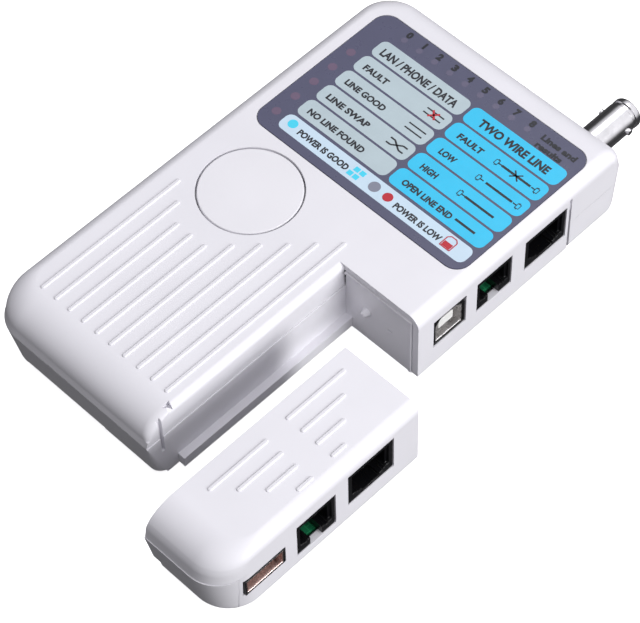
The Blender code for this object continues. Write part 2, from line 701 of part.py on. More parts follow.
def make_battery():
    battery = rounded_slab("battery_9v", BATTERY_X, BATTERY_Y, BATTERY_Z, 2.0, "battery", 3)
    middle = (BATTERY_X[0] + BATTERY_X[1]) / 2
    middle_z = (BATTERY_Z[0] + BATTERY_Z[1]) / 2
    for name, x, radius in (("plus", middle - 6.35, 2.8), ("minus", middle + 6.35, 3.6)):
        stud = (x, 0, middle_z)
        foot, tip = BATTERY_Y[1] - 1.0, BATTERY_Y[1] + 2.0
        join(battery, rod(f"join_{name}_stud", stud, radius, foot, tip, steps=12, axis="y"))
    snap_x = (middle - 12.0, middle + 12.0)
    snap_y = (BATTERY_Y[1] + 2.0 + GAP, BATTERY_Y[1] + 5.0)
    rounded_slab("battery_snap", snap_x, snap_y, (middle_z - 5.5, middle_z + 5.5), 1.2, "chip", 2)
    for name, x, kind in (("red", middle - 3.0, "red_wire"), ("black", middle + 3.0, "black_wire")):
        route = [
            (x, snap_y[1] + GAP, middle_z),
            (x, -15.8, middle_z - 0.8),
            (x, -14.4, 9.4),
            (x, -13.6, BOARD_TOP + GAP),
        ]
        make_wire(f"battery_wire_{name}", route, 0.6, kind)
    door = box("battery_door", DOOR_X, DOOR_Y, DOOR_Z, "case")
    rail_x = (DOOR_X[0] - DOOR_RAIL, DOOR_X[1] + DOOR_RAIL)
    rails = box("join_door_rails", rail_x, (DOOR_Y[0] + 1.5, DOOR_Y[1]), (WALL + GAP, DOOR_RAIL_Z[1]))
    keel_z = (DOOR_Z[1] - 0.5, DOOR_RAIL_Z[1])
    keel = box("join_door_keel", (DOOR_X[0], DOOR_X[1]), (DOOR_Y[0] + 1.0, DOOR_Y[1]), keel_z)
    join(door, keel, rails)
    set_pivot(door, ((DOOR_X[0] + DOOR_X[1]) / 2, DOOR_Y[0], 0.0))


def make_wire(name, route, radius, kind):
    curve = bpy.data.curves.new(name, "CURVE")
    curve.dimensions = "3D"
    curve.bevel_depth = radius * MM
    curve.bevel_resolution = 1
    curve.use_fill_caps = True
    spline = curve.splines.new("POLY")
    points = smooth_route(route, 4)
    spline.points.add(len(points) - 1)
    for point, place in zip(spline.points, points):
        point.co = (*(place * MM), 1.0)
    curve.materials.append(material_for(name, kind))
    obj = bpy.data.objects.new(name, curve)
    bpy.context.scene.collection.objects.link(obj)
    return obj


def smooth_route(route, steps):
    """Points on a Catmull-Rom curve through the route."""
    knots = [Vector(point) for point in route]
    padded = [knots[0]] + knots + [knots[-1]]
    points = []
    for i in range(1, len(padded) - 2):
        before, start, end, after = padded[i - 1 : i + 3]
        for j in range(steps):
            t = j / steps
            points.append(
                0.5 * (2 * start + (end - before) * t + (2 * before - 5 * start + 4 * end - after) * t**2
                       + (3 * start - before - 3 * end + after) * t**3)
            )
    points.append(knots[-1])
    return points


# Board parts


def make_leds():
    foot = BOARD_TOP + GAP
    for name, (x, y) in led_places().items():
        profile = [(0, foot), (1.0, foot), (1.0, 18.0), (1.7, 18.0), (1.7, 19.0), (LED_RADIUS, 19.0)]
        profile += [(LED_RADIUS, 22.6), (LED_RADIUS * 0.71, 23.6), (0, 24.0)]
        turned(name, profile, (x, y, 0), kind="lens", steps=10)


def make_chip(name, centre, length, width, leg_count):
    """A flat chip with a row of legs along each long side."""
    x, y = centre
    foot = BOARD_TOP + GAP
    outline = []
    for side in (-1, 1):
        for i in range(leg_count):
            leg = -side * (i - (leg_count - 1) / 2) * length / leg_count
            out, inner = side * (width / 2 + 1.2), side * (width / 2 - 0.4)
            half = -side * 0.2
            outline += [(x + leg - half, y + inner), (x + leg - half, y + out)]
            outline += [(x + leg + half, y + out), (x + leg + half, y + inner)]
    legs = prism(f"join_{name}_legs", outline, foot, foot + 0.4)
    body_x = (x - length / 2, x + length / 2)
    chip = box(name, body_x, (y - width / 2, y + width / 2), (foot + 0.15, foot + 2.0), "chip")
    return join(chip, legs)


def make_board_parts():
    make_chip("controller_chip", (-12.0, 34.0), 17.0, 7.5, 10)
    make_chip("driver_chip", (5.0, 8.0), 10.0, 5.0, 8)
    foot = BOARD_TOP + GAP
    can = [(0, foot), (2.5, foot), (2.5, 8.6), (2.3, 9.0), (2.5, 9.4), (2.5, 15.0), (0, 15.0)]
    turned("filter_capacitor", can, (14.0, 24.0, 0), kind="chip", steps=16)
    rounded_slab("timing_crystal", (-8.0, 3.0), (44.0, 48.5), (foot, 10.8), 2.2, "steel", 4)


def make_screws(prefix, places, top):
    for i, (x, y) in enumerate(places):
        head = SCREW_HEAD_RADIUS
        profile = [(0, 0.9), (head - 0.5, 0.9), (head, 1.6), (head, 3.1)]
        profile += [(SCREW_SHANK_RADIUS, 3.1), (SCREW_SHANK_RADIUS, top - 1.0), (0, top)]
        screw = turned(f"{prefix}_screw_{i + 1}", profile, (x, y, 0), kind="steel", steps=16)
        for name, half in (("a", (1.4, 0.3)), ("b", (0.3, 1.4))):
            slot_x = (x - half[0], x + half[0])
            slot_y = (y - half[1], y + half[1])
            cut(screw, box(f"cut_{prefix}_{i}_{name}", slot_x, slot_y, (0.0, 1.9)))


# Remote unit


def make_remote_shells():
    top = loft(
        "remote_top_shell", [remote_ring(z) for z in remote_upper_levels()], "case"
    )
    room_x = (BAY_X + DOCK_GAP + REMOTE_SIDE_WALL, PORT_FACE_X - PORT_WALL)
    room_y = (-100.0, BAY_Y - DOCK_GAP - WALL)
    cavity = body_loft("cut_remote_top", top_cavity_levels(), WALL)
    keep_inside(cavity, box("keep_remote_room", room_x, room_y, (10.0, 30.0)))
    cut(top, cavity)
    port_end = -BODY_LENGTH / 2 + REMOTE_CORNER - 2.0
    wall = loft("join_remote_port_wall", [remote_ring(z) for z in (PORT_WALL_FOOT, 1.0, 1.5, SEAM_Z + 3.0)])
    keep_inside(wall, box("keep_remote_wall", (PORT_FACE_X - PORT_WALL, 60.0), (port_end, 0.0), (0.0, 30.0)))
    join(top, wall)
    for name, socket in (("lan", REMOTE_LAN), ("phone", REMOTE_PHONE), ("usb_a", USB_A)):
        cut(top, socket_cutter(f"cut_remote_{name}", socket))
    remote_ribs(top)

    bottom = loft("remote_bottom_shell", [remote_ring(z) for z in lower_z_levels(SEAM_Z - GAP / 2)], "case")
    side_x = (PORT_FACE_X - PORT_WALL - GAP, 60.0)
    side = box("cut_remote_side", side_x, (port_end - GAP, 10.0), (-5.0, 30.0))
    low = body_loft("cut_remote_low", [WALL] + lower_levels()[3:4] + [SEAM_Z + 1.0], WALL)
    low_x = (room_x[0], PORT_FACE_X + 2.0)
    keep_inside(low, box("keep_remote_low", low_x, room_y, (0.0, 30.0)))
    step_x = (0.0, BAY_X + LEDGE_WIDTH + 2.6)
    step = box("keep_ledge_step", step_x, (-100.0, 10.0), (-1.0, LEDGE_HEIGHT + 2.6))
    cut(low, step)
    cut(bottom, low, side)
    rabbet_x = (0.0, BAY_X + LEDGE_WIDTH + 0.6)
    rabbet = box("cut_ledge_rabbet", rabbet_x, (-100.0, 10.0), (-5.0, LEDGE_HEIGHT + 0.6))
    cut(bottom, rabbet)
    peg_x = (PEG_X - PEG_RADIUS - 2.4, PEG_X + PEG_RADIUS + 0.6)
    peg_z = (PEG_Z - PEG_RADIUS - 0.6, PEG_Z + PEG_RADIUS + 0.6)
    cut(bottom, box("cut_peg_slot", peg_x, (BAY_Y - 4.2, 5.0), peg_z))
    for i, (x, y) in enumerate(REMOTE_SCREWS):
        join(bottom, rod(f"join_remote_boss_{i}", (x, y, 0), BOSS_RADIUS, 0.5, BOSS_JOINT_Z))
        cut(bottom, rod(f"cut_remote_screw_{i}", (x, y, 0), SCREW_SHANK_RADIUS + GAP, -5.0, 20.0, steps=12))
        cut(bottom, rod(f"cut_remote_head_{i}", (x, y, 0), SCREW_HEAD_RADIUS + GAP, -5.0, 3.4, steps=16))
        join(top, rod(f"join_remote_top_boss_{i}", (x, y, 0), 2.6, BOSS_JOINT_Z + GAP, HEIGHT - WALL + 0.5))
        cut(top, rod(f"cut_remote_top_boss_{i}", (x, y, 0), SCREW_SHANK_RADIUS + GAP, 10.0, 20.5, steps=10))


def remote_upper_levels():
    return sorted(set(upper_z_levels(SEAM_Z + GAP / 2) + [HEIGHT - PORT_FILLET]))


def remote_ribs(top):
    """Two groups of four short ribs, each level where it meets the band between the groups."""
    pitch = 5.25
    far = ("far", 21.5, -31.5, (21.1, 15.7, 10.4, 5.3), 1)
    near = ("near", 22.4, -38.9, (20.7, 15.8, 10.9, 5.6), -1)
    rib_z = (24.0, HEIGHT + RIB_HEIGHT)
    for group, first_x, level, lengths, direction in (far, near):
        for i, length in enumerate(lengths):
            x = first_x + pitch * i
            y = (level, level + length) if direction > 0 else (level - length, level)
            rib_x = (x - RIB_WIDTH / 2, x + RIB_WIDTH / 2)
            join(top, rounded_slab(f"join_{group}_rib_{i}", rib_x, y, rib_z, 0.6, steps=2))


def make_remote_inside():
    board_low = REMOTE_PHONE[2] - GAP - BOARD_THICKNESS
    z = (board_low, board_low + BOARD_THICKNESS)
    outline = [(22.0, -62.8), (39.6, -62.8), (39.6, -17.5), (22.0, -17.5)]
    prism("remote_circuit_board", outline, z[0], z[1], "z", "board")
    make_jack("remote_lan", REMOTE_LAN, 8, 11.9, 6.2, False)
    make_jack("remote_phone", REMOTE_PHONE, 6, 9.8, 4.2, True)
    make_usb_a()
    foot = z[1] + GAP
    box("remote_diode_array", (24.0, 26.4), (-50.0, -30.0), (foot, foot + 5.0), "chip")


def carry_remote(names):
    carrier = bpy.data.objects.new("remote_unit", None)
    bpy.context.scene.collection.objects.link(carrier)
    carrier.location = Vector(REMOTE_OFFSET) * MM
    for name in names:
        bpy.data.objects[name].parent = carrier


def main():
    clear_scene()
    make_main_top_shell()
    make_main_bottom_shell()
    make_label()
    make_main_board()
    make_button()
    make_jack("main_lan", MAIN_LAN, 8, 11.9, 6.2, False)
    make_jack("main_phone", MAIN_PHONE, 6, 9.8, 4.2, True)
    make_usb_b()
    make_bnc()
    make_battery()
    make_leds()
    make_board_parts()
    make_screws("main", MAIN_SCREWS, 19.8)
    before = set(bpy.data.objects.keys())
    make_remote_shells()
    make_remote_inside()
    make_screws("remote", REMOTE_SCREWS, 19.8)
    carry_remote(sorted(set(bpy.data.objects.keys()) - before))


main()
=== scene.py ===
"""The looks of the network cable tester: its main unit and, beside it, the detachable remote unit.

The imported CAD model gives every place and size. Sizes here are in millimetres and are scaled to
metres where a mesh is made. X runs across the main unit towards its sockets, Y towards the coaxial
connector, and Z up out of the label face. The remote unit is modelled in its docked place, and its
pieces are then moved to where the CAD's own remote unit lies.
"""

import math

import bmesh
import bpy
from mathutils import Matrix, Vector


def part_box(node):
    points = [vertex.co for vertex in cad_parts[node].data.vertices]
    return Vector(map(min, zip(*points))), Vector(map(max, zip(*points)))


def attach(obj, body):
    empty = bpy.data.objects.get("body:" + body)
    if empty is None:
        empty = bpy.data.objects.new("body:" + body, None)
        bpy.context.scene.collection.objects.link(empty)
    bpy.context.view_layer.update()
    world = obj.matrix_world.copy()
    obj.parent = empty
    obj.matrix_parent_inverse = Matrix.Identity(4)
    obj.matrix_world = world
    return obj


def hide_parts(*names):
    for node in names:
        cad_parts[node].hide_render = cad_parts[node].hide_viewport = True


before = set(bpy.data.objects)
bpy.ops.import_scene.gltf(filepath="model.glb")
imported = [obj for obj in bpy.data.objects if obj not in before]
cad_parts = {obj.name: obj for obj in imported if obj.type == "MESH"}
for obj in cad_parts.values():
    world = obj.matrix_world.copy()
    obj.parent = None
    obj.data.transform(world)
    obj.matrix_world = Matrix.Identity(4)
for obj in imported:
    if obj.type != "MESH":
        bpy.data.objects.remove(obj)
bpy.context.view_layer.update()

MM = 0.001

# Main unit's case, as in the CAD model
HEIGHT = 25.0
SEAM_Z = 16.5
HALF_WIDTH = 45.0
HALF_LENGTH = 76.6
WALL = 2.0
GAP = 0.3
SEAM_GAP = 0.1
SEAM_LEDGE = 0.28
CORNER_RADIUS = 11.0
PORT_CORNER_RADIUS = 4.0
LOWER_TAPER = 3.0
BACK_LOWER_TAPER = 1.5
BOTTOM_FILLET = 3.0
UPPER_LEAN = 0.7
SIDE_FILLET = 4.0
END_FILLET_HEIGHT = 6.5
FRONT_FILLET_LENGTH = 10.5
BACK_FILLET_LENGTH = 8.0
ARC_STEPS = 14
FILLET_STEPS = 14

# Socket wall and bay
PORT_FACE_X = 42.5
PORT_WALL = 2.0
PORT_FILLET = 3.5
PORT_WALL_FOOT = 0.4
PORT_WALL_END_Y = 53.9
PORT_FOOT_FILLET = 1.5
PORT_GROOVE_WIDTH = 0.8
PORT_GROOVE_DEPTH = 0.7
SKIRT_Z = 11.0
BAY_X = 16.2
BAY_Y = -4.9
LEDGE_WIDTH = 2.4
LEDGE_HEIGHT = 4.2
LEDGE_START_Y = -66.8
BAY_FILLET = 2.0
LIP_Y = -71.9
LIP_TOP_RADIUS = 2.8
LIP_FOOT_RADIUS = 3.0
LIP_GROOVE_DEPTH = 1.2
LIP_GROOVE_WIDTH = 1.1
LIP_GROOVE_FOOT_Z = 10.4
NOTCH_Y = (-68.4, -66.0)
NOTCH_DEPTH = 1.6
PEG_X = 24.0
PEG_Z = 12.0
SLOT_MARK_X = (31.6, 33.2)
SLOT_MARK_Z = (10.9, 11.5)
SLOT_MARK_DEPTH = 0.4
BAY_RIM = 0.5
SCREW_HOLE_RADIUS = 2.7

# Remote unit
DOCK_GAP = 0.5
REMOTE_CORNER = 10.0
REMOTE_SIDE_WALL = 3.2
REMOTE_RIB_PITCH = 5.25
# First rib's X, level end's Y, lengths, and the way along Y from the level end
REMOTE_RIBS = (
    (21.5, -31.5, (21.1, 15.7, 10.4, 5.3), 1),
    (22.4, -38.9, (20.7, 15.8, 10.9, 5.6), -1),
)

# Label face
LABEL_X = (-37.5, 39.2)
LABEL_Y = (13.2, 66.4)
LABEL_CORNER = 4.5
LABEL_TOP = 25.05
LABEL_FOOT = 24.7
LABEL_MARGIN = 0.2
INK = 0.02

# Test button
BUTTON_X = -19.4
BUTTON_Y = -4.6
BUTTON_RADIUS = 14.4
BUTTON_GAP = 0.42

# Grip ribs
RIB_COUNT = 10
RIB_START_X = -35.6
RIB_PITCH = 5.19
RIB_FOOT_Y = -64.8
RIB_SHORT_END_Y = -25.4
RIB_WIDTH = 1.3
RIB_HEIGHT = 0.27
RIB_CORNER = 0.64
RIB_ROUND_OVER = 0.33

# Sockets: middle along Y, width, lowest and highest point
MAIN_LAN = (44.6, 15.8, 7.3, 19.0)
MAIN_PHONE = (24.4, 13.0, 7.3, 18.8)
USB_B = (7.2, 11.8, 7.9, 18.5)
REMOTE_LAN = (-22.7, 15.9, 7.3, 19.9)
REMOTE_PHONE = (-42.3, 13.2, 4.6, 17.4)
USB_A = (-60.4, 13.8, 7.4, 13.6)
JACK_BACK_X = 27.0
JACK_FACE_X = 42.3
JACK_BACK_WALL = 2.0
JACK_FLOOR = 2.9
JACK_ROOF = 1.4
CONTACT_PITCH = 1.02
CONTACT_WIDTH = 0.44

# Coaxial connector
BNC_X = 29.3
BNC_Z = 13.0
BNC_RADIUS = 4.65
BNC_END_Y = 93.7

dock_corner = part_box("remote_lan_jack")[0] / MM
REMOTE_OFFSET = Vector(
    (dock_corner.x - JACK_BACK_X, dock_corner.y - (REMOTE_LAN[0] - REMOTE_LAN[1] / 2), 0.0)
)


# Materials


class Nodes:
    """A material's node tree, with short calls for adding and joining nodes."""

    def __init__(self, name):
        self.material = bpy.data.materials.new(name)
        self.material.use_nodes = True
        self.tree = self.material.node_tree
        self.shader = self.tree.nodes["Principled BSDF"]

    def add(self, kind, **values):
        node = self.tree.nodes.new(kind)
        for key, value in values.items():
            if key in node.inputs:
                node.inputs[key].default_value = value
            else:
                setattr(node, key, value)
        return node

    def link(self, source, target):
        self.tree.links.new(source, target)

    def noise(self, scale, detail=3.0, stretch=(1.0, 1.0, 1.0)):
        place = self.add("ShaderNodeTexCoord")
        mapping = self.add("ShaderNodeMapping")
        mapping.inputs["Scale"].default_value = stretch
        noise = self.add("ShaderNodeTexNoise", Scale=scale, Detail=detail)
        self.link(place.outputs["Object"], mapping.inputs["Vector"])
        self.link(mapping.outputs["Vector"], noise.inputs["Vector"])
        return noise.outputs["Fac"]

    def spread(self, source, low, high):
        """The source's middle range stretched to low..high."""
        node = self.add("ShaderNodeMapRange")
        for key, value in (("From Min", 0.3), ("From Max", 0.7), ("To Min", low), ("To Max", high)):
            node.inputs[key].default_value = value
        self.link(source, node.inputs["Value"])
        return node.outputs["Result"]

    def tint(self, source, first, second):
        ramp = self.add("ShaderNodeValToRGB")
        ramp.color_ramp.elements[0].position = 0.32
        ramp.color_ramp.elements[0].color = (*first, 1.0)
        ramp.color_ramp.elements[1].position = 0.68
        ramp.color_ramp.elements[1].color = (*second, 1.0)
        self.link(source, ramp.inputs["Fac"])
        self.link(ramp.outputs["Color"], self.shader.inputs["Base Color"])

    def bump(self, source, strength, distance, edge=0.0):
        bump = self.add("ShaderNodeBump", Strength=strength, Distance=distance)
        self.link(source, bump.inputs["Height"])
        if edge:
            bevel = self.add("ShaderNodeBevel", Radius=edge)
            bevel.samples = 4
            self.link(bevel.outputs["Normal"], bump.inputs["Normal"])
        self.link(bump.outputs["Normal"], self.shader.inputs["Normal"])

    def set(self, **values):
        for key, value in values.items():
            self.shader.inputs[key.replace("_", " ")].default_value = value
        return self


def plastic(name, colour, roughness, edge=0.00025, grain=0.12, sheen=0.0):
    """Moulded plastic: slow drift in colour and gloss, and a fine moulded grain."""
    made = Nodes(name)
    darker = tuple(channel * 0.965 for channel in colour)
    made.tint(made.noise(45.0), darker, colour)
    made.link(made.spread(made.noise(160.0, 4.0), roughness - 0.04, roughness + 0.05),
              made.shader.inputs["Roughness"])
    made.bump(made.noise(2600.0, 2.0), grain, 0.00002, edge)
    made.set(IOR=1.5, Coat_Weight=sheen, Coat_Roughness=0.12)
    return made.material


def metal(name, colour, roughness, edge=0.0001, stretch=(1.0, 1.0, 1.0)):
    """Plated metal with faint drawing marks."""
    made = Nodes(name)
    made.tint(made.noise(300.0, 3.0, stretch), tuple(c * 0.88 for c in colour), colour)
    made.link(made.spread(made.noise(700.0, 4.0, stretch), roughness * 0.7, roughness * 1.4),
              made.shader.inputs["Roughness"])
    made.bump(made.noise(1500.0, 2.0, stretch), 0.08, 0.00001, edge)
    made.set(Metallic=1.0)
    return made.material


def ink(name, colour, roughness=0.32):
    """Screen-printed ink on film: slightly uneven, with the film's faint orange peel."""
    made = Nodes(name)
    made.tint(made.noise(220.0, 4.0), tuple(c * 0.95 for c in colour), colour)
    made.link(made.spread(made.noise(500.0), roughness - 0.04, roughness + 0.06),
              made.shader.inputs["Roughness"])
    made.bump(made.noise(900.0, 2.0), 0.05, 0.00001)
    return made.material


def laminate(name):
    """Green solder mask with paler copper tracks just under it."""
    made = Nodes(name)
    place = made.add("ShaderNodeTexCoord")
    tracks = made.add("ShaderNodeTexBrick", Scale=180.0)
    tracks.inputs["Color1"].default_value = (0.01, 0.15, 0.06, 1.0)
    tracks.inputs["Color2"].default_value = (0.012, 0.19, 0.08, 1.0)
    tracks.inputs["Mortar"].default_value = (0.03, 0.3, 0.12, 1.0)
    made.link(place.outputs["Object"], tracks.inputs["Vector"])
    made.link(tracks.outputs["Color"], made.shader.inputs["Base Color"])
    made.link(made.spread(made.noise(300.0), 0.25, 0.4), made.shader.inputs["Roughness"])
    made.bump(tracks.outputs["Fac"], 0.3, 0.00003)
    return made.material


CASE = plastic("case_plastic", (0.80, 0.79, 0.835), 0.36, sheen=0.12)
BUTTON = plastic("button_plastic", (0.81, 0.80, 0.84), 0.34, sheen=0.12)
PANEL = ink("label_slate", (0.078, 0.08, 0.145), 0.3)
PALE = ink("label_pale_grey", (0.47, 0.57, 0.615))
CYAN = ink("label_cyan", (0.02, 0.55, 0.87))
WHITE_BLUE = ink("label_white_blue", (0.58, 0.73, 0.86))
BLACK_INK = ink("label_black", (0.004, 0.005, 0.012))
RED_INK = ink("label_red", (0.5, 0.004, 0.02))
BRIGHT_CYAN = ink("label_bright_cyan", (0.05, 0.66, 0.88))
GREY_INK = ink("label_grey", (0.22, 0.23, 0.30))
MAUVE = ink("label_mauve_window", (0.118, 0.108, 0.178), 0.2)
REDDISH = ink("label_red_window", (0.145, 0.098, 0.165), 0.2)
# Black jack plastic. The USB sockets' black surround and outer shell also use it, as painted shade for the
# dark gap round them.
JACK_AND_GAP_SHADE = plastic("jack_plastic", (0.003, 0.003, 0.004), 0.3, edge=0.00015)
WHITE = plastic("white_insulator", (0.82, 0.82, 0.80), 0.45)
PART = plastic("component_plastic", (0.03, 0.03, 0.035), 0.45)
NICKEL = metal("nickel_plate", (0.90, 0.89, 0.91), 0.14)
USB_METAL = metal("socket_shell_metal", (0.93, 0.91, 0.91), 0.3)
ROSE_METAL = metal("rose_plated_metal", (0.90, 0.70, 0.66), 0.24)
GOLD = metal("gold_plate", (0.92, 0.68, 0.32), 0.2)
STEEL = metal("zinc_steel", (0.6, 0.61, 0.64), 0.32, stretch=(1.0, 1.0, 0.2))
BOARD = laminate("board_laminate")
BATTERY = plastic("battery_jacket", (0.05, 0.055, 0.07), 0.28, sheen=0.3)
RED_WIRE = plastic("red_wire_vinyl", (0.55, 0.02, 0.02), 0.4)
BLACK_WIRE = plastic("black_wire_vinyl", (0.02, 0.02, 0.02), 0.4)
LENS = plastic("led_lens", (0.62, 0.45, 0.5), 0.12, sheen=0.5)


# Mesh making


def object_from(name, made, material=None):
    """An object from the bmesh that is passed, in millimetres; without a material it is a cutter."""
    bmesh.ops.recalc_face_normals(made, faces=made.faces)
    bmesh.ops.scale(made, vec=(MM, MM, MM), verts=made.verts)
    mesh = bpy.data.meshes.new(name)
    made.to_mesh(mesh)
    made.free()
    obj = bpy.data.objects.new(name, mesh)
    bpy.context.scene.collection.objects.link(obj)
    if material:
        mesh.materials.append(material)
    return obj


def box(name, x, y, z, material=None):
    made = bmesh.new()
    bmesh.ops.create_cube(made, size=1.0)
    for vertex in made.verts:
        vertex.co = Vector((x[vertex.co.x > 0], y[vertex.co.y > 0], z[vertex.co.z > 0]))
    return object_from(name, made, material)


def loft(name, rings, material=None):
    """A solid skinned through closed rings with the same number of points."""
    made = bmesh.new()
    rows = [[made.verts.new(point) for point in ring] for ring in rings]
    count = len(rings[0])
    for low, high in zip(rows, rows[1:]):
        for i in range(count):
            j = (i + 1) % count
            made.faces.new((low[i], low[j], high[j], high[i]))
    made.faces.new(list(reversed(rows[0])))
    made.faces.new(rows[-1])
    return object_from(name, made, material)


def prism(name, outline, low, high, axis="z", material=None):
    place = {
        "x": lambda a, b, c: (c, a, b),
        "y": lambda a, b, c: (a, c, b),
        "z": lambda a, b, c: (a, b, c),
    }[axis]
    return loft(name, [[place(a, b, level) for a, b in outline] for level in (low, high)], material)


def turned(name, profile, centre, axis="z", material=None, steps=64):
    """A solid turned from (radius, height) points about an axis through the centre."""
    made = bmesh.new()
    rows = []
    for radius, height in profile:
        if radius == 0:
            rows.append([made.verts.new((0.0, 0.0, height))])
            continue
        ring = []
        for i in range(steps):
            angle = 2 * math.pi * (i + 0.5) / steps
            ring.append(made.verts.new((radius * math.cos(angle), radius * math.sin(angle), height)))
        rows.append(ring)
    pairs = list(zip(rows, rows[1:]))
    if profile[0][0] > 0:
        pairs.append((rows[-1], rows[0]))
    for low, high in pairs:
        for i in range(steps):
            j = (i + 1) % steps
            corners = [low[i % len(low)], low[j % len(low)], high[j % len(high)], high[i % len(high)]]
            made.faces.new(list(dict.fromkeys(corners)))
    turns = {
        "z": Matrix.Identity(4),
        "y": Matrix.Rotation(math.radians(-90.0), 4, "X"),
        "x": Matrix.Rotation(math.radians(90.0), 4, "Y"),
    }
    made.transform(Matrix.Translation(centre) @ turns[axis])
    return object_from(name, made, material)


def rod(name, centre, radius, low, high, material=None, steps=48, axis="z"):
    return turned(name, [(0, low), (radius, low), (radius, high), (0, high)], centre, axis, material, steps)


def arc(centre, radius, start, end, steps=ARC_STEPS):
    points = []
    for i in range(steps + 1):
        angle = math.radians(start + (end - start) * i / steps)
        points.append((centre[0] + radius * math.cos(angle), centre[1] + radius * math.sin(angle)))
    return points


def rounded_outline(x, y, radius, steps=ARC_STEPS):
    (x0, x1), (y0, y1) = x, y
    return (
        arc((x0 + radius, y0 + radius), radius, 180, 270, steps)
        + arc((x1 - radius, y0 + radius), radius, 270, 360, steps)
        + arc((x1 - radius, y1 - radius), radius, 0, 90, steps)
        + arc((x0 + radius, y1 - radius), radius, 90, 180, steps)
    )


def soft_slab(name, x, y, z, radius, round_over, material=None, steps=6):
    """A rounded slab whose upper edge is rounded over."""
    rings = []
    levels = [(z[0], 0.0)]
    for i in range(steps + 1):
        angle = math.radians(90.0 * i / steps)
        levels.append((z[1] - round_over * (1 - math.sin(angle)), round_over * (1 - math.cos(angle))))
    for level, inset in levels:
        outline = rounded_outline(
            (x[0] + inset, x[1] - inset), (y[0] + inset, y[1] - inset), radius - inset * 0.95, 6
        )
        rings.append([(a, b, level) for a, b in outline])
    return loft(name, rings, material)


def combine(target, operation, others):
    """Carries out the Boolean at once and removes what was used."""
    for other in others:
        modifier = target.modifiers.new("combine", "BOOLEAN")
        modifier.operation = operation
        modifier.solver = "EXACT"
        modifier.object = other
    graph = bpy.context.evaluated_depsgraph_get()
    mesh = bpy.data.meshes.new_from_object(target.evaluated_get(graph))
    target.modifiers.clear()
    target.data = mesh
    for other in others:
        bpy.data.objects.remove(other)
    return target


def cut(target, *others):
    return combine(target, "DIFFERENCE", others)


def join(target, *others):
    return combine(target, "UNION", others)


def keep_inside(target, *others):
    return combine(target, "INTERSECT", others)


def finish_surface(obj, rounding):
    """Smooth shading with sharp edges kept, and normals weighted so that flat faces stay flat."""
    mesh = obj.data
    mesh.shade_smooth()
    mesh.set_sharp_from_angle(angle=math.radians(32.0))
    if rounding:
        bevel = obj.modifiers.new("round_edges", "BEVEL")
        bevel.width = rounding * MM
        bevel.segments = 3
        bevel.limit_method = "ANGLE"
        bevel.angle_limit = math.radians(40.0)
    weighted = obj.modifiers.new("weighted", "WEIGHTED_NORMAL")
    weighted.keep_sharp = True


def put(obj, body, slot, *nodes, rounding=0.0):
    """Gives the piece its shading and its body, and hides the CAD nodes that it stands for. The slot
    argument is not used.
    """
    finish_surface(obj, rounding)
    if body == "remote":
        obj.data.transform(Matrix.Translation(REMOTE_OFFSET * MM))
    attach(obj, body)
    if nodes:
        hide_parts(*nodes)
    return obj


# Case surfaces


def upper_inset(height, fillet_length, fillet_height):
    """How far in the upper case is, at a height above the seam."""
    start = HEIGHT - SEAM_Z - fillet_height
    lean = SEAM_LEDGE + (UPPER_LEAN - SEAM_LEDGE) * min(height / start, 1.0)
    rise = max(height - start, 0.0) / fillet_height
    return lean + fillet_length * (1.0 - math.sqrt(max(1.0 - rise * rise, 0.0)))


def lower_inset(z, taper=LOWER_TAPER):
    """How far in the lower case is, at a height above the underside."""
    drop = max(BOTTOM_FILLET - z, 0.0)
    fillet = BOTTOM_FILLET - math.sqrt(BOTTOM_FILLET**2 - drop**2)
    return taper * (1.0 - z / SEAM_Z) + fillet


def port_inset(z):
    """How far in the upright socket side is: it is rounded only at its top and foot."""
    rise = max(z - HEIGHT + PORT_FILLET, 0.0)
    drop = max(PORT_FOOT_FILLET - z, 0.0)
    top = PORT_FILLET - math.sqrt(PORT_FILLET**2 - rise**2)
    return top + PORT_FOOT_FILLET - math.sqrt(PORT_FOOT_FILLET**2 - drop**2)


def upper_levels(start):
    foot = HEIGHT - END_FILLET_HEIGHT
    curve = [
        foot + END_FILLET_HEIGHT * math.sin(math.radians(90.0 * i / FILLET_STEPS))
        for i in range(FILLET_STEPS + 1)
    ]
    return [start] + curve


def lower_levels(end):
    steps = 8
    curve = [BOTTOM_FILLET * (1.0 - math.cos(math.radians(90.0 * i / steps))) for i in range(steps + 1)]
    return curve + [end]


def top_cavity_levels():
    ceiling = HEIGHT - WALL
    return [SKIRT_Z - 1.0] + [z for z in upper_levels(SEAM_Z)[::3] if z < ceiling - 0.5] + [ceiling]


def body_ring(z, inset=0.0):
    """The main case's outline: its socket side is upright, and its other sides lean in."""
    if z > SEAM_Z:
        side = upper_inset(z - SEAM_Z, SIDE_FILLET, SIDE_FILLET)
        front = upper_inset(z - SEAM_Z, FRONT_FILLET_LENGTH, END_FILLET_HEIGHT)
        back = upper_inset(z - SEAM_Z, BACK_FILLET_LENGTH, END_FILLET_HEIGHT)
    else:
        side = front = lower_inset(z)
        back = lower_inset(z, BACK_LOWER_TAPER)
    x0 = -HALF_WIDTH + side + inset
    x1 = PORT_FACE_X - port_inset(z) - inset
    y0 = -HALF_LENGTH + front + inset
    y1 = HALF_LENGTH - back - inset
    wide = max(CORNER_RADIUS - side - inset, 2.0)
    small = max(PORT_CORNER_RADIUS - port_inset(z) - inset, 1.0)
    remote = max(REMOTE_CORNER - port_inset(z) - 1.6 * inset, 2.0)
    outline = arc((x0 + wide, y0 + wide), wide, 180, 270)
    outline += arc((x1 - remote, y0 + remote), remote, 270, 360)
    outline += arc((x1 - small, y1 - small), small, 0, 90)
    outline += arc((x0 + wide, y1 - wide), wide, 90, 180)
    return [(a, b, z) for a, b in outline]


def body_loft(name, levels, inset=0.0, material=None):
    return loft(name, [body_ring(z, inset) for z in levels], material)


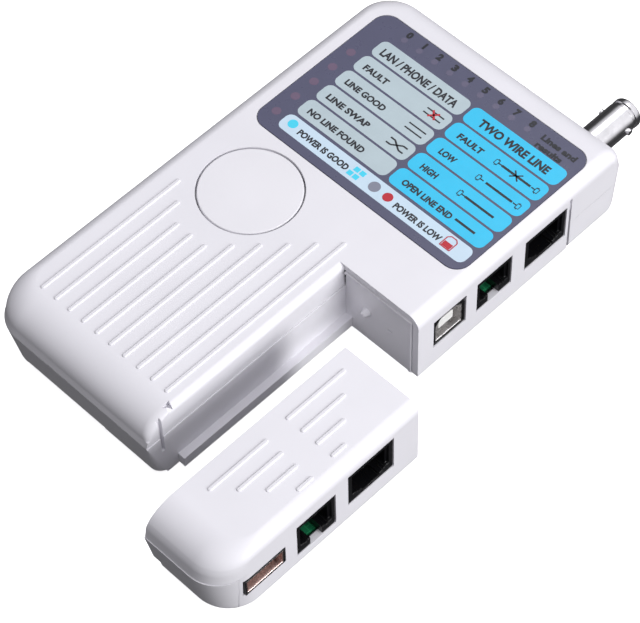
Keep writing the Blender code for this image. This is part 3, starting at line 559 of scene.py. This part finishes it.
def remote_ring(z):
    """The remote unit's outline: only the corner by its curved end and its sockets is round."""
    if z > SEAM_Z:
        front = upper_inset(z - SEAM_Z, FRONT_FILLET_LENGTH, END_FILLET_HEIGHT)
    else:
        front = lower_inset(z)
    side = port_inset(z)
    x0 = BAY_X + DOCK_GAP
    x1 = PORT_FACE_X - side
    y0 = -HALF_LENGTH + front
    y1 = BAY_Y - DOCK_GAP
    radius = REMOTE_CORNER - side
    outline = [(x0, y1), (x0, y0)] + arc((x1 - radius, y0 + radius), radius, 270, 360) + [(x1, y1)]
    return [(a, b, z) for a, b in outline]


def bay_corner_cutter(name, levels, side_x):
    """What rounds the upright edge where the curved end meets the bay."""
    rings = []
    for z in levels:
        if z > SEAM_Z:
            front = upper_inset(z - SEAM_Z, FRONT_FILLET_LENGTH, END_FILLET_HEIGHT)
            share = min((z - SEAM_Z) / 7.0, 1.0)
            radius = LIP_TOP_RADIUS * math.sin(math.pi / 2 * share)
        else:
            front = lower_inset(z)
            radius = LIP_FOOT_RADIUS * (1.0 - z / SEAM_Z)
        radius = max(radius, 0.1)
        y = -HALF_LENGTH + front
        centre = (side_x - radius, y + radius)
        start = [(-60.0, -40.0), (-60.0, y - 20.0), (centre[0] - 0.4, y - 0.1)]
        end = [(side_x + 0.1, centre[1] + 0.4), (side_x + 5.0, -40.0)]
        edge = arc(centre, radius, 272, 358, 10)
        rings.append([(a, b, z) for a, b in start + edge + end])
    block = box(name, (side_x - 4.0, side_x + 4.0), (-100.0, -60.0), (levels[0] + 0.01, levels[-1] - 0.01))
    return cut(block, loft(name + "_kept", rings))


def bay_edge_cutter(name, side_x):
    """What rounds the long upper edge of the bay's side."""
    centre = (side_x - BAY_FILLET, HEIGHT - BAY_FILLET)
    edge = arc(centre, BAY_FILLET, 0, 90, 10)
    outline = [(side_x + 1.0, centre[1])] + edge + [(centre[0], HEIGHT + 1.0), (side_x + 1.0, HEIGHT + 1.0)]
    return prism(name, outline, LIP_Y + 4.0, BAY_Y, "y")


def lip_groove(name):
    """The upright groove beside the bay's outer corner."""
    y = (LIP_Y, LIP_Y + LIP_GROOVE_WIDTH)
    return box(name, (BAY_X - LIP_GROOVE_DEPTH, 60.0), y, (LIP_GROOVE_FOOT_Z, 40.0))


def socket_cutter(name, socket):
    middle, width, low, high = socket
    half = width / 2 + GAP
    return box(name, (30.0, 50.0), (middle - half, middle + half), (low - GAP, high + GAP))


def rib(name, x, y):
    return soft_slab(
        name, (x - RIB_WIDTH / 2, x + RIB_WIDTH / 2), y, (24.0, HEIGHT + RIB_HEIGHT),
        RIB_CORNER, RIB_ROUND_OVER, steps=5
    )


def cut_head_hole(shell, middle, depth):
    """The hole in the underside through which a screw's head is reached."""
    cut(shell, rod("head_hole", (middle.x, middle.y, 0), SCREW_HOLE_RADIUS, -5.0, depth))


# Main unit's shells and button


def make_main_top():
    levels = [SKIRT_Z + SEAM_GAP / 2] + upper_levels(SEAM_Z)
    top = body_loft("main_upper_case", levels, material=CASE)
    seam = SEAM_Z + SEAM_GAP / 2
    inner_edge = PORT_FACE_X - PORT_WALL
    groove_end = PORT_WALL_END_Y + PORT_GROOVE_WIDTH
    cavity = body_loft("top_cavity", top_cavity_levels(), WALL)
    cut(cavity, box("bay_wall", (BAY_X - WALL - 1.0, 60.0), (-100.0, BAY_Y), (10.0, 30.0)))
    cut(
        top,
        box("below_seam", (-60.0, inner_edge), (-100.0, 100.0), (0.0, seam)),
        box("beside_skirt", (inner_edge - 1.0, 60.0), (-100.0, groove_end), (0.0, seam)),
        cavity,
    )
    wall_y = (BAY_Y - 5.0, PORT_WALL_END_Y)
    wall_z = (PORT_WALL_FOOT, HEIGHT - PORT_FILLET - 1.0)
    join(top, box("port_wall", (inner_edge, PORT_FACE_X), wall_y, wall_z))
    side_x = BAY_X - SEAM_LEDGE
    groove_x = (PORT_FACE_X - PORT_GROOVE_DEPTH, 60.0)
    notch = [(side_x - 2.4, NOTCH_Y[1]), (side_x - 2.0, NOTCH_Y[0]), (side_x - 0.2, -66.6)]
    cut(
        top,
        box("port_groove", groove_x, (PORT_WALL_END_Y, groove_end), (0.0, HEIGHT - PORT_FILLET)),
        box("bay", (side_x, 60.0), (-100.0, BAY_Y), (-5.0, 40.0)),
        bay_edge_cutter("bay_edge", side_x),
        bay_corner_cutter("bay_corner", upper_levels(SEAM_Z)[1:], side_x),
        lip_groove("groove"),
        prism("notch", notch, HEIGHT - NOTCH_DEPTH, 40.0),
        socket_cutter("lan", MAIN_LAN),
        socket_cutter("phone", MAIN_PHONE),
        socket_cutter("usb", USB_B),
        rod("button", (BUTTON_X, BUTTON_Y, 0), BUTTON_RADIUS + BUTTON_GAP, 20.0, 30.0, steps=128),
        rod("bnc", (BNC_X, 0, BNC_Z), BNC_RADIUS + GAP, 68.0, 90.0, axis="y"),
    )
    recess_x = (LABEL_X[0] - LABEL_MARGIN, LABEL_X[1] + LABEL_MARGIN)
    recess_y = (LABEL_Y[0] - LABEL_MARGIN, LABEL_Y[1] + LABEL_MARGIN)
    outline = rounded_outline(recess_x, recess_y, LABEL_CORNER + LABEL_MARGIN)
    cut(top, prism("label_recess", outline, LABEL_FOOT - 0.3, 30.0))
    ribs = []
    for i in range(RIB_COUNT):
        end = RIB_SHORT_END_Y + RIB_PITCH * max(2 - i, i - 4, 0)
        ribs.append(rib(f"rib_{i}", RIB_START_X + RIB_PITCH * i, (RIB_FOOT_Y, end)))
    join(top, *ribs)
    put(top, "root", "case_plastic", "main_top_shell")


def make_main_bottom():
    bottom = body_loft("main_lower_case", lower_levels(SEAM_Z - SEAM_GAP / 2), material=CASE)
    inner_edge = PORT_FACE_X - PORT_WALL - GAP
    groove_end = PORT_WALL_END_Y + PORT_GROOVE_WIDTH
    port_y = (BAY_Y - 2.0, groove_end)
    join(bottom, box("port_floor", (25.0, inner_edge), port_y, (0.0, SEAM_Z - SEAM_GAP / 2)))
    cut(
        bottom,
        box("port_side", (inner_edge, 60.0), (-100.0, groove_end), (-5.0, 30.0)),
        box("above_skirt", (inner_edge, 60.0), (40.0, 100.0), (SKIRT_Z - SEAM_GAP / 2, 30.0)),
    )
    cavity = body_loft("bottom_cavity", [WALL, BOTTOM_FILLET, SEAM_Z + 1.0], WALL)
    join(cavity, box("ports", (20.0, 60.0), (BAY_Y + WALL, PORT_WALL_END_Y - WALL), (WALL, 30.0)))
    cut(cavity, box("bay_side", (BAY_X - WALL, 70.0), (-100.0, BAY_Y + WALL), (-5.0, 40.0)))
    cut(bottom, cavity)
    rim_z = HEIGHT - WALL - GAP
    join(bottom, box("end_wall", (BAY_X + 0.1, inner_edge), (BAY_Y, BAY_Y + WALL), (10.0, rim_z)))
    cut(
        bottom,
        box("bay", (BAY_X, 60.0), (-100.0, BAY_Y), (-5.0, 40.0)),
        bay_corner_cutter("bay_corner", lower_levels(SEAM_Z), BAY_X),
        lip_groove("groove"),
        rod("bnc", (BNC_X, 0, BNC_Z), BNC_RADIUS + GAP, 68.0, 90.0, axis="y"),
        box("slot_mark", SLOT_MARK_X, (BAY_Y - 1.0, BAY_Y + SLOT_MARK_DEPTH), SLOT_MARK_Z),
    )
    rim_y = (BAY_Y - BAY_RIM, BAY_Y + 1.0)
    rim_top = box("rim_top", (BAY_X + 0.1, inner_edge), rim_y, (rim_z - 0.7, rim_z))
    rim_side = box("rim_side", (inner_edge - 0.8, inner_edge), rim_y, (0.6, rim_z))
    ledge_x = (BAY_X - 0.5, BAY_X + LEDGE_WIDTH)
    ledge = box("ledge", ledge_x, (LEDGE_START_Y, BAY_Y + 0.5), (0.5, LEDGE_HEIGHT))
    peg_profile = [(0, -1.8), (0.5, -1.8), (0.8, -1.6), (1.7, 0.5), (0, 0.5)]
    peg = turned("peg", peg_profile, (PEG_X, BAY_Y, PEG_Z), "y")
    join(bottom, rim_top, rim_side, ledge, peg)
    for i in range(1, 5):
        low, high = (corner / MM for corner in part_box(f"main_screw_{i}"))
        cut_head_hole(bottom, (low + high) / 2, 3.4)
    low, high = (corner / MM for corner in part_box("battery_door"))
    door_x = (low.x - GAP + 1.2, high.x + GAP - 1.2)
    cut(bottom, box("door_hole", door_x, (-90.0, high.y + GAP), (-1.0, 3.3)))
    put(bottom, "root", "case_plastic", "main_bottom_shell")


def make_button():
    cap_profile = [
        (0, 13.0),
        (2.6, 13.0),
        (2.6, 21.2),
        (15.6, 21.2),
        (15.6, 22.5),
        (BUTTON_RADIUS, 22.5),
        (BUTTON_RADIUS, HEIGHT - 0.4),
        (BUTTON_RADIUS - 0.05, HEIGHT - 0.22),
        (BUTTON_RADIUS - 0.15, HEIGHT - 0.08),
        (BUTTON_RADIUS - 0.35, HEIGHT),
        (0, HEIGHT),
    ]
    cap = turned("test_button", cap_profile, (BUTTON_X, BUTTON_Y, 0), "z", BUTTON, 128)
    put(cap, "test_button", "button_plastic", "test_button_cap")


# Label


class Print:
    """Flat printed shapes of one colour, gathered into one thin mesh."""

    def __init__(self, name, material, layer):
        self.name, self.material = name, material
        self.low = LABEL_TOP + INK * (layer - 1) + 0.002
        self.high = LABEL_TOP + INK * layer
        self.parts = []

    def slab(self, outline):
        self.parts.append(prism("print", outline, self.low, self.high))

    def pill(self, x, y):
        self.slab(rounded_outline(x, y, PILL_RADIUS, 6))

    def disc(self, x, y, radius):
        self.slab([(x + a, y + b) for a, b in arc((0.0, 0.0), radius, 0, 345, 23)])

    def stroke(self, start, end, width):
        """A straight line with square ends."""
        a, b = Vector(start), Vector(end)
        side = (b - a).normalized().orthogonal() * width / 2
        self.slab([tuple(p) for p in (a + side, a - side, b - side, b + side)])

    def path(self, points, width):
        for start, end in zip(points, points[1:]):
            self.stroke(start, end, width)

    def text(self, words, x, y, size, width, weight):
        """Text whose left end is at x and whose middle height is at y, squeezed to the width."""
        curve = bpy.data.curves.new("words", "FONT")
        curve.body = words
        curve.size = size
        curve.offset = weight * size
        curve.extrude = INK / 2
        curve.resolution_u = 3
        obj = bpy.data.objects.new("words", curve)
        bpy.context.scene.collection.objects.link(obj)
        graph = bpy.context.evaluated_depsgraph_get()
        mesh = bpy.data.meshes.new_from_object(obj.evaluated_get(graph))
        bpy.data.objects.remove(obj)
        xs = [v.co.x for v in mesh.vertices]
        stretch = width / (max(xs) - min(xs))
        made = bmesh.new()
        made.from_mesh(mesh)
        for v in made.verts:
            v.co.x = x + (v.co.x - min(xs)) * stretch
            v.co.y += y - 0.36 * size
            v.co.z += (self.low + self.high) / 2
        self.parts.append(object_from("words", made))

    def make(self):
        """One piece from all the shapes."""
        made = bmesh.new()
        for part in self.parts:
            made.from_mesh(part.data)
            bpy.data.objects.remove(part)
        mesh = bpy.data.meshes.new(self.name)
        made.to_mesh(mesh)
        made.free()
        mesh.materials.append(self.material)
        obj = bpy.data.objects.new(self.name, mesh)
        bpy.context.scene.collection.objects.link(obj)
        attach(obj, "root")
        return obj


TITLE_Y = 55.2
ROW_PITCH = 7.25
ROW_HEIGHT = 6.55
LEFT_PILL = (-30.2, 3.1)
RIGHT_PILL = (4.1, 38.0)
BATTERY_ROW = (16.05, 21.95)
PIN_START_X = -26.2
PIN_PITCH = 5.72
PIN_TEXT_Y = 64.3
PIN_WINDOW_Y = 61.9
STATUS_X = -33.8
LEFT_TEXT_X = -27.8
RIGHT_TEXT_X = 7.7
PILL_RADIUS = 2.0
TITLE_SIZE = 3.7
ROW_SIZE = 2.75
ROW_WEIGHT = 0.045


def row_middle(row):
    return TITLE_Y - ROW_PITCH * row


def make_label():
    base = soft_slab("label_film", LABEL_X, LABEL_Y, (LABEL_FOOT, LABEL_TOP), LABEL_CORNER, 0.08, PANEL)
    put(base, "root", "label_film", "label_overlay")
    left = Print("label_left_fields", PALE, 1)
    right = Print("label_right_fields", CYAN, 1)
    strip = Print("label_power_field", WHITE_BLUE, 1)
    black = Print("label_black_print", BLACK_INK, 2)
    red = Print("label_red_print", RED_INK, 3)
    cyan = Print("label_cyan_print", BRIGHT_CYAN, 2)
    grey = Print("label_grey_print", GREY_INK, 2)
    windows = Print("label_pin_windows", MAUVE, 1)
    status = Print("label_status_windows", REDDISH, 1)
    for row in range(5):
        y = (row_middle(row) - ROW_HEIGHT / 2, row_middle(row) + ROW_HEIGHT / 2)
        left.pill(LEFT_PILL, y)
        right.pill(RIGHT_PILL, y)
    strip.pill((-30.6, 37.6), BATTERY_ROW)

    for i, mark in enumerate("012345678"):
        middle = PIN_START_X + PIN_PITCH * i
        reach = 0.35 if mark == "1" else 0.85
        black.text(mark, middle - reach, PIN_TEXT_Y, 3.0, 2 * reach, weight=0.06)
        windows.disc(middle, PIN_WINDOW_Y, 1.0)
    black.text("Lines and", 24.3, 62.9, 2.7, 12.0, weight=0.05)
    black.text("results", 24.7, 59.9, 2.7, 9.0, weight=0.05)
    for i in range(5):
        status.disc(STATUS_X, row_middle(i + 1) + 0.6, 1.35)

    black.text("LAN / PHONE / DATA", LEFT_TEXT_X, TITLE_Y - 0.4, TITLE_SIZE, 28.0, weight=0.04)
    black.text("TWO WIRE LINE", 8.7, TITLE_Y - 0.2, TITLE_SIZE, 24.9, ROW_WEIGHT)
    left_rows = (("FAULT", 8.8), ("LINE GOOD", 14.6), ("LINE SWAP", 15.6), ("NO LINE FOUND", 20.6))
    for i, (words, width) in enumerate(left_rows):
        black.text(words, LEFT_TEXT_X + 0.3, row_middle(i + 1) - 0.4, ROW_SIZE, width, ROW_WEIGHT)
    right_rows = (("FAULT", 8.8), ("LOW", 5.6), ("HIGH", 5.6), ("OPEN LINE END", 17.6))
    for i, (words, width) in enumerate(right_rows):
        black.text(words, RIGHT_TEXT_X, row_middle(i + 1) - 0.4, ROW_SIZE, width, ROW_WEIGHT)
    black.text("POWER IS GOOD", -24.3, 18.7, ROW_SIZE, 18.4, ROW_WEIGHT)
    black.text("POWER IS LOW", 11.6, 18.5, ROW_SIZE, 16.6, ROW_WEIGHT)

    x0, x1 = -5.0, 1.2
    y = row_middle(1)
    for offset in (-0.85, 0.85):
        black.stroke((x0, y + offset), (x1, y + offset), 0.46)
        black.stroke((x0, row_middle(2) + offset * 1.1), (x1, row_middle(2) + offset * 1.1), 0.46)
    red.stroke((x0 + 1.9, y - 1.3), (x1 - 1.9, y + 1.3), 0.62)
    red.stroke((x0 + 1.9, y + 1.3), (x1 - 1.9, y - 1.3), 0.62)
    y = row_middle(3)
    for sign in (-1, 1):
        bend = [(x0, y + sign), (x0 + 1.6, y + sign), (x1 - 1.6, y - sign), (x1, y - sign)]
        black.path(bend, 0.52)

    for row in range(1, 5):
        y = row_middle(row) - 0.1
        start, end = (23.2, 33.4)
        if row == 2:
            start = 24.0
        if row == 4:
            start = 26.4
        black.stroke((start, y), (end, y), 0.75)
        if row < 4:
            coax_end(black, 21.7, y, 1)
        if row < 3:
            coax_end(black, 35.2, y, -1)
    y = row_middle(1) - 0.1
    black.stroke((26.9, y - 1.3), (29.7, y + 1.3), 0.42)
    black.stroke((26.9, y + 1.3), (29.7, y - 1.3), 0.42)

    cyan.disc(-27.3, 19.4, 1.5)
    grey.disc(3.6, 19.1, 1.75)
    red.disc(8.6, 19.0, 1.5)
    for x in (-5.3, -3.2):
        cyan.slab([(x, 17.2), (x + 1.7, 17.2), (x + 1.7, 18.8), (x, 18.8)])
        cyan.slab([(x + 0.7, 19.3), (x + 2.4, 19.3), (x + 2.4, 20.9), (x + 0.7, 20.9)])
    can = [(29.0, 17.2), (32.4, 17.2), (32.4, 20.4), (31.6, 21.2), (29.8, 21.2), (29.0, 20.4), (29.0, 17.2)]
    red.path(can, 0.3)
    red.slab([(29.3, 17.4), (32.1, 17.4), (32.1, 19.2), (29.3, 19.2)])
    for piece in (left, right, strip, black, red, cyan, grey, windows, status):
        piece.make()


def coax_end(black, x, y, side):
    """A small open connector symbol."""
    outline = [(x - 0.9 * side, y - 0.8), (x + 0.2 * side, y - 0.8), (x + 0.2 * side, y + 0.8),
               (x - 0.9 * side, y + 0.8), (x - 0.9 * side, y - 0.8)]
    black.path(outline, 0.22)
    black.stroke((x + 0.2 * side, y), (x + 1.5 * side, y), 0.4)
    for offset in (-1.15, 1.15):
        black.stroke((x - 0.5 * side, y + offset), (x + 0.2 * side, y + offset * 0.75), 0.22)


# Sockets


def make_jack(body, prefix, socket, contact_count, cavity_width, notch_width, notch_open):
    middle, width, low, high = socket
    body_y = (middle - width / 2, middle + width / 2)
    jack = box(f"{prefix}_socket", (JACK_BACK_X, JACK_FACE_X), body_y, (low, high), JACK_AND_GAP_SHADE)
    floor = low + JACK_FLOOR
    ceiling = high - JACK_ROOF
    reach = cavity_width / 2
    cavity_x = (JACK_BACK_X + JACK_BACK_WALL, 50.0)
    cutters = [box("cavity", cavity_x, (middle - reach, middle + reach), (floor, ceiling))]
    notch_half = notch_width / 2
    notch_low = low - 1.0 if notch_open else low + 1.0
    notch_x = (JACK_FACE_X - 6.0, 50.0)
    notch_y = (middle - notch_half, middle + notch_half)
    cutters.append(box("notch", notch_x, notch_y, (notch_low, floor + 0.5)))
    if not notch_open:
        step_y = (middle - notch_half - 1.4, middle + notch_half + 1.4)
        cutters.append(box("step", notch_x, step_y, (low + 2.0, floor + 0.5)))
    for side in (-1, 1):
        inner = sorted((middle + side * (reach - 0.1), middle + side * (reach + 0.7)))
        cutters.append(box("flare", (JACK_FACE_X - 0.8, 50.0), inner, (floor, ceiling)))
        rail = sorted((middle + side * (reach - 1.8), middle + side * (reach - 0.6)))
        cutters.append(box("rail", (JACK_FACE_X - 4.0, 50.0), rail, (floor - 0.5, floor + 0.5)))
    cut(jack, *cutters)
    put(jack, body, "jack_plastic", f"{prefix}_jack", rounding=0.12)
    back = JACK_BACK_X + JACK_BACK_WALL + GAP
    carrier_y = (middle - reach + GAP, middle + reach - GAP)
    carrier_z = (floor + GAP, ceiling - GAP)
    contacts = box(f"{prefix}_spring_contacts", (back, back + 1.0), carrier_y, carrier_z, GOLD)
    springs = []
    half = CONTACT_WIDTH / 2
    for i in range(contact_count):
        y = middle + (i - (contact_count - 1) / 2) * CONTACT_PITCH
        top = ceiling - GAP
        outline = [(back + 0.5, top), (back + 8.0, top), (back + 8.0, top - 0.5), (back + 0.5, top - 2.2)]
        springs.append(prism("spring", outline, y - half, y + half, "y"))
    join(contacts, *springs)
    put(contacts, body, "gold_plate", f"{prefix}_contacts")


def make_usb_b():
    middle, width, low, high = USB_B
    half = width / 2
    chamfer = 2.2

    def outline(inset):
        left, right = middle - half + inset, middle + half - inset
        bottom, top = low + inset, high - inset
        return [(left, bottom), (right, bottom), (right, top - chamfer), (right - chamfer, top),
                (left + chamfer, top), (left, top - chamfer)]

    # A black surround round the metal shell: painted shade that stands for the dark gap between the shell
    # and the case wall.
    surround = prism("usb_b_gap_shade_surround", outline(0.0), 26.0, JACK_FACE_X, "x", JACK_AND_GAP_SHADE)
    cut(surround, prism("room", outline(0.6), 27.0, 50.0, "x"))
    put(surround, "root", "jack_plastic", "usb_b_shell", rounding=0.15)
    shell = prism("usb_b_socket_shell", outline(0.7), 27.3, JACK_FACE_X - 0.3, "x", USB_METAL)
    cut(shell, prism("room", outline(1.1), 28.0, 50.0, "x"))
    put(shell, "root", "plated_metal", rounding=0.15)
    tongue_y = (middle - 2.8, middle + 2.8)
    tongue = box("usb_b_socket_tongue", (28.5, 41.0), tongue_y, (low + 3.4, low + 6.6), WHITE)
    join(tongue, box("base", (28.1, 29.5), (middle - 4.4, middle + 4.4), (low + 1.3, high - 3.4)))
    put(tongue, "root", "white_insulator", "usb_b_tongue", rounding=0.2)


def make_usb_a():
    middle, width, low, high = USB_A
    half = width / 2
    shell_y = (middle - half, middle + half)
    # The outer shell is black: painted shade that stands for the dark gap round the socket. The rose lining
    # inside is the plated metal.
    shell = box("usb_a_gap_shade_shell", (27.0, PORT_FACE_X + 0.2), shell_y, (low, high), JACK_AND_GAP_SHADE)
    inner_y = (middle - half + 0.45, middle + half - 0.45)
    cut(shell, box("room", (28.0, 50.0), inner_y, (low + 0.45, high - 0.45)))
    put(shell, "remote", "jack_plastic", "usb_a_shell", rounding=0.15)
    inner_y = (middle - half + 0.5, middle + half - 0.5)
    lining_x = (28.3, PORT_FACE_X + 0.1)
    lining = box("usb_a_socket_lining", lining_x, inner_y, (low + 0.5, high - 0.5), ROSE_METAL)
    inner_y = (middle - half + 0.9, middle + half - 0.9)
    cut(lining, box("room", (29.0, 50.0), inner_y, (low + 0.9, high - 0.9)))
    put(lining, "remote", "plated_metal", rounding=0.15)
    tongue_y = (middle - 5.6, middle + 5.6)
    tongue = box("usb_a_socket_tongue", (29.5, 41.2), tongue_y, (high - 2.9, high - 1.1), WHITE)
    join(tongue, box("base", (29.2, 30.0), (middle - 5.9, middle + 5.9), (low + 1.0, high - 1.0)))
    put(tongue, "remote", "white_insulator", "usb_a_tongue", rounding=0.15)


def make_bnc():
    centre = (BNC_X, 0.0, BNC_Z)
    r, end = BNC_RADIUS, BNC_END_Y
    profile = [
        (r - 0.75, 70.6),
        (r, 70.6),
        (r, end - 3.2),
        (r - 0.35, end - 2.9),
        (r - 0.35, end - 2.1),
        (r, end - 1.8),
        (r, end - 0.5),
        (r - 0.3, end),
        (r - 0.65, end),
        (r - 0.8, end - 0.2),
    ]
    barrel = turned("bnc_socket_barrel", profile, centre, "y", NICKEL, 72)
    lugs = []
    for side in (-1, 1):
        x = sorted((BNC_X + side * (r - 0.4), BNC_X + side * (r + 0.7)))
        lugs.append(rod("lug", (0, end - 5.5, BNC_Z), 0.95, x[0], x[1], steps=24, axis="x"))
    join(barrel, *lugs)
    put(barrel, "root", "plated_metal", "bnc_barrel")


# Remote unit's shells


def make_remote():
    levels = sorted(upper_levels(SEAM_Z + SEAM_GAP / 2) + [HEIGHT - PORT_FILLET])
    top = loft("remote_upper_case", [remote_ring(z) for z in levels], CASE)
    room_x = (BAY_X + DOCK_GAP + REMOTE_SIDE_WALL, PORT_FACE_X - PORT_WALL)
    room_y = (-100.0, BAY_Y - DOCK_GAP - WALL)
    cavity = body_loft("top_cavity", top_cavity_levels(), WALL)
    keep_inside(cavity, box("room", room_x, room_y, (10.0, 30.0)))
    cut(top, cavity)
    port_end = -HALF_LENGTH + REMOTE_CORNER - 2.0
    wall = loft("port_wall", [remote_ring(z) for z in (PORT_WALL_FOOT, 1.0, 1.5, SEAM_Z + 3.0)])
    keep_inside(wall, box("keep", (PORT_FACE_X - PORT_WALL, 60.0), (port_end, 0.0), (0.0, 30.0)))
    join(top, wall)
    cut(
        top,
        socket_cutter("lan", REMOTE_LAN),
        socket_cutter("phone", REMOTE_PHONE),
        socket_cutter("usb", USB_A),
    )
    ribs = []
    for first_x, level, lengths, direction in REMOTE_RIBS:
        for i, length in enumerate(lengths):
            y = (level, level + length) if direction > 0 else (level - length, level)
            ribs.append(rib("rib", first_x + REMOTE_RIB_PITCH * i, y))
    join(top, *ribs)
    put(top, "remote", "case_plastic", "remote_top_shell")

    levels = lower_levels(SEAM_Z - SEAM_GAP / 2)
    bottom = loft("remote_lower_case", [remote_ring(z) for z in levels], CASE)
    low = body_loft("low_cavity", [WALL, BOTTOM_FILLET, SEAM_Z + 1.0], WALL)
    keep_inside(low, box("room", (room_x[0], PORT_FACE_X + 2.0), room_y, (0.0, 30.0)))
    cut(low, box("step", (0.0, BAY_X + LEDGE_WIDTH + 2.6), (-100.0, 10.0), (-1.0, LEDGE_HEIGHT + 2.6)))
    cut(
        bottom,
        low,
        box("side", (PORT_FACE_X - PORT_WALL - GAP, 60.0), (port_end - GAP, 10.0), (-5.0, 30.0)),
        box("rabbet", (0.0, BAY_X + LEDGE_WIDTH + 0.6), (-100.0, 10.0), (-5.0, LEDGE_HEIGHT + 0.6)),
        box("peg_slot", (PEG_X - 4.6, PEG_X + 2.8), (BAY_Y - 4.2, 5.0), (PEG_Z - 2.8, PEG_Z + 2.8)),
    )
    for i in (1, 2):
        low, high = (corner / MM - REMOTE_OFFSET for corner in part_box(f"remote_screw_{i}"))
        cut_head_hole(bottom, (low + high) / 2, 1.9)
    put(bottom, "remote", "case_plastic", "remote_bottom_shell")


# CAD nodes that stay as they are


def dress_nodes():
    shown = {
        "main_circuit_board": BOARD,
        "remote_circuit_board": BOARD,
        "test_switch_body": STEEL,
        "test_switch_plunger": PART,
        "bnc_insulator": WHITE,
        "bnc_center_contact": GOLD,
        "bnc_lock_nut": NICKEL,
        "bnc_rear_block": PART,
        "battery_9v": BATTERY,
        "battery_snap": PART,
        "battery_wire_red": RED_WIRE,
        "battery_wire_black": BLACK_WIRE,
        "battery_door": CASE,
        "controller_chip": PART,
        "driver_chip": PART,
        "filter_capacitor": PART,
        "timing_crystal": STEEL,
        "remote_diode_array": PART,
        "battery_led": LENS,
    }
    shown.update({f"pin_led_{i}": LENS for i in range(1, 10)})
    shown.update({f"status_led_{i}": LENS for i in range(1, 6)})
    shown.update({f"main_screw_{i}": STEEL for i in range(1, 5)})
    shown.update({f"remote_screw_{i}": STEEL for i in range(1, 3)})
    for name, material in shown.items():
        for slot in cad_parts[name].material_slots:
            slot.material = material


# Stage


def make_stage():
    made = bmesh.new()
    bmesh.ops.create_grid(made, x_segments=1, y_segments=1, size=1.0)
    mesh = bpy.data.meshes.new("floor")
    made.to_mesh(mesh)
    made.free()
    floor = bpy.data.objects.new("floor", mesh)
    floor.scale = (3.0, 3.0, 1.0)
    floor.location = (0.0, 0.0, -0.0002)
    bpy.context.scene.collection.objects.link(floor)
    paint = Nodes("floor_paint")
    paint.tint(paint.noise(2.0), (0.93, 0.93, 0.93), (0.95, 0.95, 0.95))
    paint.set(Roughness=0.9, Emission_Color=(1.0, 1.0, 1.0, 1.0), Emission_Strength=0.75)
    mesh.materials.append(paint.material)
    floor.visible_diffuse = False
    floor.visible_glossy = False
    make_studio()


def make_studio():
    """Soft light that fades from above and behind the object towards its near end."""
    world = bpy.data.worlds.new("studio")
    world.use_nodes = True
    tree = world.node_tree
    background = tree.nodes["Background"]
    place = tree.nodes.new("ShaderNodeTexCoord")
    facing = tree.nodes.new("ShaderNodeVectorMath")
    facing.operation = "DOT_PRODUCT"
    facing.inputs[1].default_value = Vector((0.42, 0.2, 0.9)).normalized()
    tree.links.new(place.outputs["Generated"], facing.inputs[0])
    ramp = tree.nodes.new("ShaderNodeValToRGB")
    half = tree.nodes.new("ShaderNodeMapRange")
    half.inputs["From Min"].default_value = -1.0
    tree.links.new(facing.outputs["Value"], half.inputs["Value"])
    tree.links.new(half.outputs["Result"], ramp.inputs["Fac"])
    stops = ((0.1, 0.1), (0.4, 0.04), (0.6, 0.07), (0.77, 0.85), (0.88, 1.0))
    elements = ramp.color_ramp.elements
    while len(elements) < len(stops):
        elements.new(0.5)
    for element, (position, level) in zip(elements, stops):
        element.position = position
        element.color = (level * 0.97, level * 0.965, level, 1.0)
    tree.links.new(ramp.outputs["Color"], background.inputs["Color"])
    background.inputs["Strength"].default_value = 1.0
    bpy.context.scene.world = world
    bpy.context.scene.view_settings.view_transform = "Standard"

    soft_light("side", (0.95, 0.2, 0.35), 0.5, 7.0)
    soft_light("top", (-0.1, 0.45, 0.9), 0.6, 1.5)


def soft_light(name, place, size, power):
    light = bpy.data.lights.new(name, "AREA")
    light.shape = "DISK"
    light.size = size
    light.energy = power
    obj = bpy.data.objects.new(name, light)
    obj.location = place
    obj.rotation_euler = Vector(place).to_track_quat("Z", "Y").to_euler()
    bpy.context.scene.collection.objects.link(obj)


def make_camera():
    """The main view, from above and from between the near end and the socket side."""
    camera = bpy.data.cameras.new("camera")
    camera.sensor_width = 36.0
    camera.lens = 151.95
    camera.clip_start = 0.01
    obj = bpy.data.objects.new("camera", camera)
    azimuth, elevation, roll = math.radians(46.05), math.radians(54.51), math.radians(-1.742)
    place = Matrix.Translation((0.31221, -0.29990, 0.59085))
    turn = Matrix.Rotation(azimuth, 4, "Z") @ Matrix.Rotation(math.radians(90.0) - elevation, 4, "X")
    obj.matrix_world = place @ turn @ Matrix.Rotation(roll, 4, "Z")
    bpy.context.scene.collection.objects.link(obj)
    bpy.context.scene.camera = obj


make_camera()
make_stage()
make_main_top()
make_main_bottom()
make_button()
make_label()
make_jack("root", "main_lan", MAIN_LAN, 8, 11.9, 6.2, False)
make_jack("root", "main_phone", MAIN_PHONE, 6, 9.8, 4.2, True)
make_jack("remote", "remote_lan", REMOTE_LAN, 8, 11.9, 6.2, False)
make_jack("remote", "remote_phone", REMOTE_PHONE, 6, 9.8, 4.2, True)
make_usb_b()
make_usb_a()
make_bnc()
make_remote()
dress_nodes()
